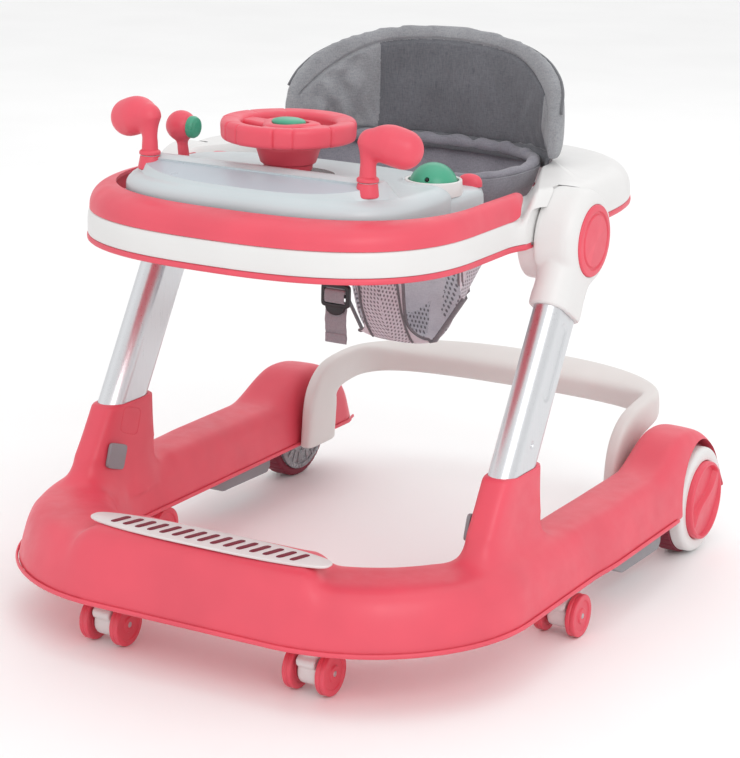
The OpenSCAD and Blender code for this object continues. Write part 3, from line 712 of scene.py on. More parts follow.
def make_base():
    sh = loft("base_body", [arch(s) for s in base_stations()])
    tw = loft("tower_r", tower_rings())
    tl = mirror_copy(tw, "tower_l")
    sh = join("base_body", [sh, tw, tl])
    voxel(sh, 2.6)

    def near(co):
        x, y, z = np.abs(co[:, 0]), co[:, 1], co[:, 2]
        w = smooth((x - 190) / 12) * smooth((y + 280) / 18) * smooth((-70 - y) / 18)
        return w * smooth((z - 92) / 10) * smooth((142 - z) / 12)

    relax(sh, 3)
    relax(sh, 46, near)
    cutters = []
    for s in (1, -1):
        c = revolve("arch_cut", [(0.01, 233), (67, 233), (67, 310), (0.01, 310)], 96, "x", (0, AXLE[0], AXLE[1]))
        g = box_mesh("arch_low", (233, 215, 20), (310, 275, 66), 0.5)
        h = leg_prism("leg_cut", 30.8, 60.8, -392, -150, LEG_X)
        parts = [c, g, h]
        if s < 0:
            flip_cutters(parts)
        cutters += parts
    # seam of the height lock's cover and recess of its button, on the towers' inner faces
    for s in (1, -1):
        p = oval(16, 14, 5, 48)
        c, n = math.cos(LOCK_LEAN), math.sin(LOCK_LEAN)
        path = np.column_stack([p[:, 0] * 0, -160 + p[:, 0] * c + p[:, 1] * n, 170 - p[:, 0] * n + p[:, 1] * c])
        x = tower_face(path[:, 2])
        path[:, 0] = x - 0.2
        path[:, 0] *= s
        cutters.append(tube("seam_cut", path, 0.75, 8, closed=True, up=(1, 0, 0)))
        b = prism("button_cut", oval(15.6, 14.1, 7, 40), -10, 12, 0.5)
        b.data.transform(lock_matrix(s))
        cutters.append(b)
    cut(sh, cutters)
    sharp(sh, 38)
    piece(sh, "base", "coral", "coral", "base_shell")
    # moulded lip along the lower edge
    st = base_stations()
    outer = [(x * 1.002, y - (1 if y < -200 else 0), LOW + 2.6) for (x, y), _, _ in st if y < 160]
    inner = [(x - math.copysign(0.8, x) if abs(x) > 1 else 0, y + 0.6, LOW + 2.4) for _, (x, y), _ in st]
    lips = [tube("lip_o", outer, 2.4, 10, squash=(0.62, 1.0)), tube("lip_i", inner, 2.2, 10, squash=(0.6, 1.0))]
    piece(sharp(join("base_lip", lips), 60), "base", "coral", "coral")
    # pedal plate with rounded-pointed ends and plain grip bars
    plate = prism("pedal_pad", plate_outline() - [0, 334], 128.2, 131.0, 1.2, 4)
    piece(sharp(plate, 50), "base", "white", "white", "pedal_plate")
    bars = []
    for i in range(15):
        x = (i - 7) * 14.5
        h = 12 - 0.035 * abs(i - 7) ** 2
        sec = oval(3.0, h, 5, 28)
        sec = np.column_stack([sec[:, 0] + x + sec[:, 1] * 0.3, sec[:, 1] - 334])
        bars.append(prism("bar", sec, 130.4, 131.9, 0.5, 3))
    piece(sharp(join("pedal_grips", bars), 50), "base", "tread", "tread")


def plate_outline(a=135.0, b=22.0, n=120):
    t = np.arange(n) * 2 * np.pi / n
    x = a * np.cos(t)
    y = b * bow(np.sin(t), 3.2) * (1 - 0.12 * np.abs(np.cos(t)) ** 6)
    return np.column_stack([x, y])


def tower_face(z):
    """How far out from the middle the towers' inner face lies at a height."""
    k = (np.asarray(z, float) - 88) / 103
    f = np.clip(1 - k, 0, 1) ** 3
    return LEG_X + 3 * f - 17 - 10 * f


def lock_matrix(s):
    """Places a plate drawn in XY on the inner face of a tower, leaning with the leg."""
    m = Matrix(((0, 0, 1, 0), (1, 0, 0, 0), (0, 1, 0, 0), (0, 0, 0, 1)))
    rot = Matrix.Rotation(-LOCK_LEAN, 4, "X")
    at = Matrix.Translation(Vector((209.3 * MM, -190 * MM, 139 * MM)))
    out = at @ rot @ m
    if s < 0:
        out = FLIP @ out
    return out


def make_locks():
    for s, side in ((1, "right"), (-1, "left")):
        b = prism("height_lock_" + side, oval(14.9, 13.4, 7, 48), -2.2, 1.8, 0.7, 3)
        b.data.transform(lock_matrix(s))
        if s < 0:
            b.data.flip_normals()
        tidy_mesh(b)
        piece(sharp(b, 40), "height_button_" + side, "grey", "mid_grey", "height_button_" + side)


def make_pads():
    out = []
    for s in (1, -1):
        prof = arc_prof([(26, 57.0), (26, 42), (52, 29), (148, 27), (154, 33), (154, 57.0)], [0.5, 3, 6, 4, 4, 0.5])
        rings = []
        for x, ins in ((233, 1.0), (233.6, 0.3), (234.6, 0), (262.4, 0), (263.4, 0.3), (264, 1.0)):
            c = np.mean(prof, 0)
            q = np.array(prof)
            q = q + (c - q) / np.linalg.norm(c - q, axis=1, keepdims=True) * ins
            rings.append(np.column_stack([np.full(len(q), s * x), q]))
        out.append(loft("pad", rings))
        for k in range(7):
            y = 62 + k * 12
            out.append(box_mesh("rib", (s * 249 - 12, y, 26.2), (s * 249 + 12, y + 4, 30), 0.8))
    piece(sharp(join("stop_pad_pair", out), 40), "base", "grey", "mid_grey", "stop_pads")


# ---------------------------------------------------------------- rear wheels and casters


def make_wheels():
    ay, az = AXLE
    for s, side in ((1, "right"), (-1, "left")):
        body = "wheel_" + side
        made = []
        # white ring
        prof = arc_prof([(43.8, 262.1), (58.5, 262.1), (58.5, 277), (43.8, 277)], [0.6, 1.2, 7.5, 2.5], 8)
        ring = revolve("white_ring_" + side, prof, 128, "x", (0, ay, az))
        made.append((ring, "white", "white", "rim_ring_" + side))
        # tread with shallow cross grooves
        prof = arc_prof([(52.1, 240), (61, 240), (61, 251), (61, 262), (52.1, 262)], [0.5, 4, 0, 1.2, 0.5], 5)
        tread = revolve("tread_" + side, prof, 240, "x", (0, ay, az))
        co = coords(tread)
        r = np.hypot(co[:, 1] - ay, co[:, 2] - az)
        a = np.arctan2(co[:, 2] - az, co[:, 1] - ay)
        cutw = smooth((np.cos(a * 40) - 0.45) / 0.3) * smooth((r - 56) / 4)
        k = 1 - 0.9 * cutw / np.maximum(r, 1)
        co[:, 1], co[:, 2] = ay + (co[:, 1] - ay) * k, az + (co[:, 2] - az) * k
        put(tread, co)
        made.append((tread, "tread", "tread", "tyre_" + side))
        made.append((hub_face("hub_face_" + side), "coral", "coral", "hub_cap_" + side))
        made.append((spokes("rib_disc_" + side), "disc", "disc_grey", "spoke_disc_" + side))
        for o, key, slot, node in made:
            if s < 0:
                mirror_x(o)
            piece(sharp(o, 38), body, key, slot, node)


def hub_face(name):
    """Coral cap: a dish with a narrow rim, split by a wavy diagonal fold into a pocket and a slope."""
    ay, az = AXLE
    rings = []
    rad = [0.01] + list(range(1, 39)) + [38.5, 39, 39.5, 40, 40.5, 41, 42, 43]
    na = 180
    t = np.arange(na) * 2 * np.pi / na
    for r in rad:
        y, z = r * np.cos(t), r * np.sin(t)
        v = (z - y * 0.8) / 1.28 + 3.5 * np.sin((y + z) / 16)
        face = 283.6 - 1.2 * smooth((r - 41) / 2.5) ** 2
        dish = smooth((40 - r) / 1.6)
        depth = 0.8 + 5.4 * smooth((v - 1) / 3) + 3.6 * smooth(-v / 38)
        x = face - dish * depth
        rings.append(np.column_stack([np.broadcast_to(x, t.shape), ay + y, az + z]))
    for r, x in ((43.45, 281), (43.45, 262.3), (7, 262.3)):
        rings.append(np.column_stack([np.full(na, x), ay + r * np.cos(t), az + r * np.sin(t)]))
    return loft(name, rings)


def spokes(name):
    ay, az = AXLE
    plate = [(6.2, 238), (51.6, 238), (51.6, 262), (48.8, 262), (48.8, 241), (6.2, 241)]
    parts = []
    for outline, r, seg, count in ((plate, 0.5, 3, 96),
                                   ([(6.2, 236.8), (13, 236.8), (13, 262), (6.2, 262)], 0.8, 3, 64),
                                   ([(29, 236.9), (31.5, 236.9), (31.5, 239), (29, 239)], 0.5, 2, 96),
                                   ([(46, 236.7), (51.8, 236.7), (51.8, 239), (46, 239)], 0.7, 3, 96)):
        parts.append(revolve("disc", arc_prof(outline, r, seg), count, "x", (0, ay, az)))

    def arm(lo, hi, r, a):
        o = box_mesh("arm", lo, hi, r)
        o.data.transform(Matrix.Translation(Vector((0, ay, az)) * MM) @ Matrix.Rotation(a, 4, "X"))
        parts.append(o)

    for k in range(12):
        a = k * math.pi / 6
        if k % 2 == 0:
            arm((236.9, -1.6, 12), (239, 1.6, 31), 0.6, a)
        for q in (0, -0.234, 0.234)[:1] if k % 2 else (-0.234, 0.234):
            arm((236.9, -1.3, 30), (239, 1.3, 48), 0.5, a + q)
    return join(name, parts)


def both_sides(outline, count, at):
    """The same turned shape on either side of a place, along X."""
    out = []
    for q in (-1, 1):
        w = revolve("w", outline, count, "x")
        w.data.transform(Matrix.Translation(Vector(at) * MM) @ Matrix.Scale(q, 4, (1, 0, 0)))
        tidy_mesh(w)
        out.append(w)
    return out


def make_casters():
    for key, (cx, cy) in CASTERS.items():
        at = (cx, cy, 22)
        # body: hub barrel, sloping cheeks and neck, blended into one moulding
        barrel = revolve("b", arc_prof([(0.01, -10.6), (14.6, -10.6), (14.6, 10.6), (0.01, 10.6)], [0, 2.5, 2.5, 0], 4), 48, "x", at)
        neck = loft("n", [np.column_stack([oval(a, b, 3.2, 48) + np.array([cx, cy]), np.full(48, z)])
                          for z, a, b in ((20, 9.5, 12), (30, 10.2, 13), (38, 11.5, 13), (43, 12.8, 13), (46.6, 12.8, 13))])
        brow = loft("w", [np.column_stack([np.full(32, cx + x), oval(11, 6.5, 2.4, 32) * k + np.array([cy - 7, 33.0])])
                          for x, k in ((-10.4, 0.9), (-9.4, 1.0), (9.4, 1.0), (10.4, 0.9))])
        stem = revolve("s", [(0.01, 40), (5, 40), (5, 77), (0.01, 77)], 32, "z", (cx, cy, 0))
        o = join("caster_body_" + key, [barrel, neck, brow])
        voxel(o, 0.9)
        relax(o, 6)
        o = join("caster_body_" + key, [o, stem])
        piece(sharp(o, 45), "caster_swivel_" + key, "white", "white", "caster_fork_" + key)
        outline = arc_prof([(3.0, 13), (12, 13), (12, 13.8), (16, 13.8), (16, 13), (22, 13), (22, 16.6), (21.2, 18), (22, 19.4),
                            (22, 23), (16.5, 23), (15.5, 21.6), (8.5, 21.6), (7.5, 23.2), (3.0, 23.2)],
                           [0.2, 0.4, 0.4, 0.4, 0.4, 2.4, 0.4, 0.4, 0.4, 2.6, 0.6, 0.6, 0.6, 0.6, 0.2], 4)
        o = join("caster_rollers_" + key, both_sides(outline, 80, at))
        piece(sharp(o, 40), "caster_roll_" + key, "coral", "coral", "caster_wheels_" + key)
        caps = both_sides(arc_prof([(0.01, 12), (2.95, 12), (2.95, 23.4), (0.01, 23.4)], [0, 0, 0.9, 0], 4), 32, at)
        mid = revolve("m", [(0.01, -12), (2.95, -12), (2.95, 12), (0.01, 12)], 32, "x", at)
        pin = sharp(join("caster_pin_" + key, caps + [mid]), 40)
        piece(pin, "caster_roll_" + key, "steel", "steel", "caster_axle_" + key)
    rings = []
    for cx, cy in CASTERS.values():
        prof = arc_prof([(5.06, 47), (16.4, 47), (16.4, 50), (14.2, 53), (14.2, 57), (14, 57), (14, 87), (5.06, 87)],
                        [0.5, 1.5, 1, 1, 0, 0, 1, 0.5], 4)
        rings.append(revolve("c", prof, 64, "z", (cx, cy, 0)))
    piece(sharp(join("caster_collars", rings), 40), "base", "white", "white", "caster_sockets")


# ---------------------------------------------------------------- push bar


def bar_ring(c, u, v, a, b):
    o = oval(a, b, 4, 40)
    return np.array(c) + o[:, :1] * np.array(u) + o[:, 1:] * np.array(v)


def bar_half():
    mid = (184 + 202.5) / 2
    out = []
    for z, ins in ((58, 2.6), (58.5, 1.4), (59.6, 0.5), (61, 0), (70, 0), (80, 0), (90, 0), (100, 0), (108, 0)):
        out.append(bar_ring((mid, mix(195.5, 200, (z - 58) / 50), z), (1, 0, 0), (0, 1, 0), 9 - ins, 30.5 - ins))
    for i in np.arange(0.5, 5.01, 0.5):
        a = math.radians(13 * i)
        out.append(bar_ring((mid, 200 + 55 * (1 - math.cos(a)), 108 + 33 * math.sin(a)), (1, 0, 0),
                            (0, math.cos(a * 1.1), -math.sin(a * 1.1)), 9, mix(30.5, 20, i / 5)))
    for i in np.arange(0, 9.01, 0.5):
        t = math.radians(10 * i)
        c, s = max(math.cos(t), 0), math.sin(t)
        o = np.array([201 * bow(c, 2.3), 264 + 122 * bow(s, 2.3)])
        n = np.array([182.5 * bow(c, 2.5), 264 + 64 * bow(s, 2.5)])
        w = np.linalg.norm(o - n)
        d = (o - n) / w
        k = float(smooth(i / 5))
        e = math.radians(13 * k)
        out.append(bar_ring(((o[0] + n[0]) / 2, (o[1] + n[1]) / 2, mix(141, 141.5, k)), (d[0] * math.cos(e), d[1] * math.cos(e), math.sin(e)),
                            (d[0] * math.sin(e), d[1] * math.sin(e), -math.cos(e)), w / 2, mix(18, 15, k)))
    return out


def make_push_bar():
    half = bar_half()
    flip = [r * np.array([-1, 1, 1]) for r in half[-2::-1]]
    o = loft("rear_bar", half + flip)
    relax(o, 4, lambda co: smooth((co[:, 2] - 100) / 8))
    # ring groove round the pivot boss on each arm
    cutters = []
    for s in (1, -1):
        cutters.append(revolve("c", arc_prof([(8, 199), (10, 199), (10, 215), (8, 215)], 0.2, 2), 48, "x", (0, 212, 84)))
        if s < 0:
            flip_cutters(cutters[-1:])
    cut(o, cutters)
    piece(sharp(o, 40), "push_bar", "bar_white", "white", "push_bar")


# ---------------------------------------------------------------- legs and fold housings


def make_legs():
    for s, side in ((1, "right"), (-1, "left")):
        # flat-oval tube with a long shallow pressing and a small hole in its outer face
        half = 14.97
        ys = np.linspace(-15, 15, 61)
        a = np.linspace(0, np.pi, 19)[1:-1]
        sec = [(half, y) for y in ys] + [(15 * math.cos(t), 15 + 15 * math.sin(t)) for t in a]
        sec += [(-half, y) for y in ys[::-1]] + [(-15 * math.cos(t), -15 - 15 * math.sin(t)) for t in a]
        sec = np.array(sec)
        rings = []
        for q in np.concatenate([np.linspace(-308, -262, 10), np.arange(-260, -70, 1.5), np.linspace(-68, 10, 8)]):
            x = sec[:, 0].copy()
            y = sec[:, 1]
            out = sec[:, 0] > 14.9
            along = np.clip(q, -160, -96)
            d = np.hypot(y, q - along) - 8.5
            x = x - np.where(out, 1.4 * smooth(-d / 2.0), 0)
            d = np.hypot(y + 2, q + 213) - 3.2
            x = x - np.where(out, 3.5 * smooth(-d / 1.2), 0)
            rings.append(along_leg(s * (x + LEG_X), y, q))
        o = loft("leg_profile_" + side, rings)
        piece(sharp(o, 45), "legs", "alu", "alu", "leg_tube_" + side)
        # housing: round ear and sleeve blended together, cut for the button
        ear = revolve("e", arc_prof([(0.01, 207), (50, 207), (50, 250), (0.01, 250)], [0, 4, 17, 0], 10), 128, "x", PIVOT_AT)
        sl = flat_oval(41, 68, 20)
        rows = []
        for q, g in ((-79, -0.8), (-78, 0.0), (-74, 0.4), (-60, 0.4), (-40, 0.6), (-10, 0.8), (10, 0)):
            k = 1 + g / 34
            rows.append(along_leg(sl[:, 0] * k + 228.5, sl[:, 1] * k, q))
        o = join("fold_housing_" + side, [ear, loft("s", rows)])
        voxel(o, 1.6)

        def near(co):
            d = np.hypot(co[:, 1] - PIVOT[1], co[:, 2] - PIVOT[2])
            return smooth((d - 40) / 8) * smooth((72 - d) / 10) * smooth((380 - co[:, 2]) / 10)

        relax(o, 2)
        relax(o, 60, near)
        cuts = [revolve("c", arc_prof([(0.01, 243.4), (36.4, 243.4), (36.4, 262), (0.01, 262)], 0, 1), 96, "x", PIVOT_AT),
                leg_prism("t", 30.3, 60.3, -90, -70, LEG_X)]
        cut(o, cuts)
        if s < 0:
            mirror_x(o)
        piece(sharp(o, 40), "legs", "white", "white", "leg_housing_" + side)
        # coral button: crowned face with a ring groove and a raised middle
        prof = arc_prof([(0.01, 246.8), (36, 246.8), (36, 251.9), (29.5, 252.6), (28.6, 251.0), (26.6, 251.0), (25.6, 252.6), (0.01, 252.6)],
                        [0, 0.8, 2.4, 0.9, 0.6, 0.6, 1.2, 0], 5)
        b = revolve("fold_button_" + side, prof, 128, "x", PIVOT_AT)
        if s < 0:
            mirror_x(b)
        piece(sharp(b, 40), "release_button_" + side, "coral", "coral", "release_button_" + side)

# ---------------------------------------------------------------- seat ring and tray
STEPS = 11.0
DECK, TOP, RLOW = 423.0, 447.0, 399.0


def ring_edge(i):
    if i <= STEPS:
        a = math.radians(-90 + 90 * i / STEPS)
        return np.array([200 * bow(max(math.cos(a), 0), 2.6), -180 + 165 * bow(math.sin(a), 2.6)])
    if i <= 2 * STEPS:
        k = (i - STEPS) / STEPS
        return np.array([mix(200, 237, smooth((k - 0.35) / 0.65)), mix(-180, -10, k)])
    a = math.radians(90 * (i - 2 * STEPS) / STEPS)
    return np.array([237 * bow(max(math.cos(a), 0), 3), -10 + 232 * bow(math.sin(a), 3)])


def seat_edge(i):
    a = math.radians(-90 + 180 * i / (3 * STEPS))
    return np.array([150 * bow(max(math.cos(a), 0), 3), 38 + 113 * bow(math.sin(a), 3)])


def frame_at(i):
    o, n = ring_edge(i), seat_edge(i)
    w = np.linalg.norm(n - o)
    return o, (n - o) / w, w


def lift(i):
    """The ring's lower edge steps up behind the legs."""
    return 14 * float(smooth((i - 1.7 * STEPS) / 3))


def around(section, n=150, lo=0.0, hi=33.0):
    """Sections from the front middle round to the back middle, then mirrored to close the loop."""
    r = [np.array(section(i)) for i in np.linspace(lo, hi, n)]
    return r + [q * np.array([-1, 1, 1]) for q in r[-2:0:-1]]


def shell_section(i):
    o, d, w = frame_at(i)
    k = float(smooth((i - 15.95) / 1.6))
    low = RLOW + lift(i)
    top, run = mix(DECK, TOP, k), mix(5, 34, float(smooth((i - 15.6) / 0.7)))
    pts = [(2.0, low), (0.6, low + 0.4), (0.0, low + 2.0)]
    for a in np.radians(np.arange(0, 91, 6)):
        pts.append((run * (1 - math.cos(a) ** 0.8 if a < 1.57 else run / run), mix(RLOW + 10 + lift(i) / 2, top, math.sin(a) ** 0.8)))
    r = 3.5
    for a in np.radians(np.arange(0, 91, 15)):
        pts.append((w - r + r * math.sin(a), top - r + r * math.cos(a)))
    pts += [(w, low + 1), (w - 1, low)]
    return [(o[0] + d[0] * u, o[1] + d[1] * u, z) for u, z in pts]


def make_ring():
    o = loft("seat_ring", around(shell_section, 190), closed=True)
    cuts = []
    for s in (1, -1):
        c = revolve("c", [(0.01, 206), (50.5, 206), (50.5, 300), (0.01, 300)], 96, "x", PIVOT_AT)
        parts = [c]
        for a in np.arange(0, 60.1, 7.5):
            b = box_mesh("b", (206, -35.5, -180), (286, 35.5, 0), 4)
            b.data.transform(Matrix.Translation(Vector(PIVOT) * MM) @ Matrix.Rotation(-math.radians(a) - LEAN, 4, "X"))
            parts.append(b)
        if s < 0:
            flip_cutters(parts)
        cuts += parts
    cut(o, cuts)
    piece(sharp(o, 32), "seat_frame", "white", "white", "ring_shell")

    def rim(i):
        q, d, w = frame_at(i)
        pts = [(7, 398.8), (0.6, 398.8), (-0.6, 397.8), (-0.9, 396), (-0.6, 394.2), (0.8, 393.1), (w - 5, 393.1), (w - 4, 394), (w - 4, 395.6), (7, 395.6)]
        return [(q[0] + d[0] * u, q[1] + d[1] * u, z + lift(i)) for u, z in pts]

    o = loft("ring_rim", around(rim, 190), closed=True)
    cuts = [box_mesh("b", (s * 246 - 40, -91, 379), (s * 246 + 40, 33, 419), 0.5) for s in (1, -1)]
    cuts += [box_mesh("b", (s * 197 - 12, -74, 384), (s * 197 + 12, 16, 414), 0.5) for s in (1, -1)]
    cut(o, cuts)
    piece(sharp(o, 40), "seat_frame", "coral", "coral", "under_rim")

    def band(i):
        q, d, w = frame_at(min(i, 16.2))
        end = max(0.0, (i - 15.2) / 1.0)
        close = math.sqrt(max(0.0, 1 - min(1.0, end) ** 2))
        close = 0.12 + 0.88 * close
        h, z = 22.7 * (0.35 + 0.65 * close), DECK + 0.3 + 22.7 * (1 - close) * 0.28
        pts = []
        for a in np.radians(np.arange(0, 91, 6)):
            c = math.cos(a) ** 0.8 if a < 1.57 else 0.0
            pts.append((33 * (1 - c) + 2.5, z + h * math.sin(a) ** 0.8))
        for a in np.radians(np.arange(90, -1, -6)):
            c = math.cos(a) ** 0.8 if a < 1.57 else 0.0
            pts.append((5.5 + 30 * (1 - c), z + (h - 3) * math.sin(a) ** 0.8))
        return [(q[0] + d[0] * u, q[1] + d[1] * u, zz) for u, zz in pts]

    idx = np.concatenate([np.linspace(0, 14.6, 110), np.linspace(14.8, 16.2, 22)])
    r = [np.array(band(i)) for i in idx]
    o = loft("tray_trim", [q * np.array([-1, 1, 1]) for q in r[:0:-1]] + r)
    piece(sharp(o, 50), "seat_frame", "coral", "coral", "tray_band")


TRAY_C = np.array([0.0, -195.0])


def tray_height(x, y):
    """Height of the tray's top: a flat deck with a long sloping panel across its front."""
    rr = ((np.abs(x) / 151) ** 5 + (np.abs(y + 262) / 41) ** 5) ** 0.2
    edge = (1 - rr) * 41
    slope = 461 + 15.5 * np.clip((y + 303) / 58, 0, 1)
    ridge = np.minimum(slope, 459 + 3.8 * np.maximum(edge, 0))
    ridge = np.where(y > -244, np.minimum(ridge, 476.5 - 16.5 * smooth((y + 240) / 14)), ridge)
    rise = np.where(edge > 0, np.maximum(ridge - 460, 0), 0)
    # shallow well and ring round the dome
    dome = np.hypot(x - 128, y + 138)
    well = 1.2 * smooth((29.5 - dome) / 1.5)
    lip = 1.6 * smooth((32.5 - dome) / 1.5) * smooth((dome - 25) / 1.5)
    return 460 + rise + lip - well


def stadium(half, r, n=24):
    """Outline of a bar with round ends: half the distance between the ends' middles, and their radius."""
    a = np.linspace(-np.pi / 2, np.pi / 2, n)
    right = np.column_stack([half + r * np.cos(a), r * np.sin(a)])
    return np.concatenate([right, -right])


def make_tray():
    n = 300
    rings = []
    for a, b, z in ((156, 105, 423.4), (156.8, 105.8, 431), (158, 107, 440), (158, 107, 447.6), (157.4, 106.4, 450.2), (156, 105, 453),
                    (153.4, 102.4, 456), (150.4, 99.4, 458.2), (147.6, 96.6, 459.5)):
        rings.append(np.column_stack([oval(a, b, 3, n) + TRAY_C, np.full(n, z)]))
    base = oval(146, 95, 3, n)
    for scale in np.concatenate([np.arange(1.0, 0.03, -0.0165), [0.012]]):
        p = base * scale + TRAY_C
        z = tray_height(p[:, 0], p[:, 1])
        k = float(smooth((1.0 - scale) / 0.03))
        rings.append(np.column_stack([p, mix(np.minimum(z, 460.5), z, k)]))
    o = loft("toy_tray_top", rings)
    # sunken panel with rounded ends on the slope
    panel = prism("panel_cut", stadium(112, 23, 24), -1.6, 12, 0.4, 2)
    panel.data.transform(Matrix.Translation(Vector((0, -277 * MM, 467.9 * MM))) @ Matrix.Rotation(math.atan2(15.5, 58), 4, "X"))
    cuts = [panel]
    for x, y, r in ((121, -254, 9.2), (-121, -254, 9.2), (-134, -176, 12.0), (0, -196, 12.2), (128, -138, 25.0)):
        cuts.append(revolve("c", [(0.01, 440), (r, 440), (r, 500), (0.01, 500)], 64, "z", (x, y, 0)))
    cut(o, cuts)
    sharp(o, 40)
    paint(o, "tray")
    o.data.materials.append(MATS["panel"])
    o.data.materials.append(MATS["hole"])
    for f in o.data.polygons:
        c = f.center / MM
        below = 461 + 15.5 * (c[1] + 303) / 58 - c[2]
        if abs(c[0]) < 136 and -301 < c[1] < -253 and 1.2 < below < 2.0 and f.normal.z > 0.9:
            f.material_index = 1
    piece(o, "seat_frame", None, "tray_grey", "toy_tray")
    # consoles under the keys
    parts = []
    for s in (1, -1):
        for_key = [np.column_stack([oval(a, b, 3.2, 96) + np.array([s * 131, -117]), np.full(96, z)])
                   for a, b, z in ((29, 43, 423.5), (29, 43, 436), (28.6, 42.6, 442), (27, 41, 446.6), (24, 38, 449.4), (19, 33, 450.6), (9, 16, 451))]
        parts.append(loft("k", for_key))
    piece(sharp(join("key_consoles", parts), 40), "seat_frame", "tray", "tray_grey")
    # rims round the holes of the toys
    parts = []
    prof = arc_prof([(6.2, 462), (12.1, 462), (9.4, 475.8), (6.2, 475.8)], [0.3, 3, 1.6, 0.6], 5)
    for s in (1, -1):
        parts.append(revolve("r", prof, 64, "z", (s * CLUB[0], CLUB[1], 0)))
    parts.append(revolve("r", arc_prof([(7.2, 459), (15, 459), (13.5, 463.4), (7.2, 463.4)], [0.3, 1, 1.2, 0.5], 4), 64, "z", (0, -196, 0)))
    piece(sharp(join("toy_collars", parts), 40), "seat_frame", "coral", "coral")
    # white rim of the dome's recess and dark floors of the openings
    o = revolve("dome_rim", arc_prof([(24.6, 448), (28.4, 448), (27.6, 462.6), (24.6, 462.0)], [0.4, 0.6, 1.3, 0.8], 5), 96, "z", DOME_AT)
    piece(sharp(o, 45), "seat_frame", "white", "white")
    parts = [revolve("f", arc_prof([(0.01, 452.6), (26, 452.6), (26, 454.0), (0.01, 454.0)], 0, 1), 48, "z", DOME_AT),
             revolve("f", arc_prof([(0.01, 440), (12, 440), (12, 442), (0.01, 442)], 0, 1), 32, "z", (-134, -176, 0))]
    c = revolve("c", [(0.01, 440), (6.3, 440), (6.3, 470), (0.01, 470)], 32, "z", DOME_AT)
    piece(sharp(cut(join("toy_wells", parts), [c]), 40), "seat_frame", "hole", "black")


# ---------------------------------------------------------------- padded back, seat and straps

BACK_LOW, BACK_H, SLING_WALL = 449.0, 122.0, 2.4
SLING = np.array([[245, 28, 10, 16, 38], [252, 46, 16, 26, 34], [268, 62, 20, 36, 26], [290, 76, 22, 48, 16], [318, 88, 23, 62, 9],
                  [345, 98, 42, 78, 18], [370, 111, 66, 88, 26], [400, 127, 88, 96, 32], [425, 139, 103, 104, 34], [444, 144, 109, 109, 35]], float)


def inflate(o, cap, pressure=4.0, hold=None, frames=20):
    """Swells a closed mesh with cloth simulation, so that no point moves further than cap."""
    start = coords(o)
    if hold is not None:
        g = o.vertex_groups.new(name="hold")
        for i, w in enumerate(hold(start)):
            if w > 0.02:
                g.add([i], float(w), "REPLACE")
    m = o.modifiers.new("swell", "CLOTH")
    for k, v in {"use_pressure": True, "uniform_pressure_force": pressure, "mass": 0.3, "tension_stiffness": 15,
                 "compression_stiffness": 15, "shear_stiffness": 8, "bending_stiffness": 0.6}.items():
        setattr(m.settings, k, v)
    m.settings.effector_weights.gravity = 0
    if hold is not None:
        m.settings.vertex_group_mass = "hold"
    m.point_cache.frame_start = 1
    m.point_cache.frame_end = frames
    scene = bpy.context.scene
    for f in range(1, frames + 1):
        scene.frame_set(f)
    bake(o)
    scene.frame_set(1)
    end = coords(o)
    move = end - start
    far = np.linalg.norm(move, axis=1, keepdims=True)
    put(o, start + move * np.minimum(1, cap / np.maximum(far, 1e-6)))
    return o


def back_frame(a):
    """Middle, outward direction and height of the back pad at an angle round its arc."""
    f = bow(max(math.cos(a), 0), 3.2)
    n = np.array([math.sin(a) * 0.75, math.cos(a)])
    return np.array([157 * math.sin(a), 62 + 80 * math.cos(a)]), n / np.linalg.norm(n), 40 + (BACK_H - 38) * f


def back_place(co):
    """Angle round the arc, height as a share of the pad's height, and depth from its middle for points of the pad."""
    a = np.arctan2(co[:, 0] / 157, (co[:, 1] - 62) / 80)
    f = bow(np.maximum(np.cos(a), 0), 3.2)
    v = (co[:, 2] - BACK_LOW) / (40 + (BACK_H - 38) * f)
    d = np.hypot(co[:, 0] / 157, (co[:, 1] - 62) / 80) - 1
    return np.degrees(a), v, d * 90


def seam_height(a):
    """Share of the height at which the bolster's inner seam runs, round the arc."""
    return 0.86 - 0.16 * smooth((np.abs(a) - 30) / 50)


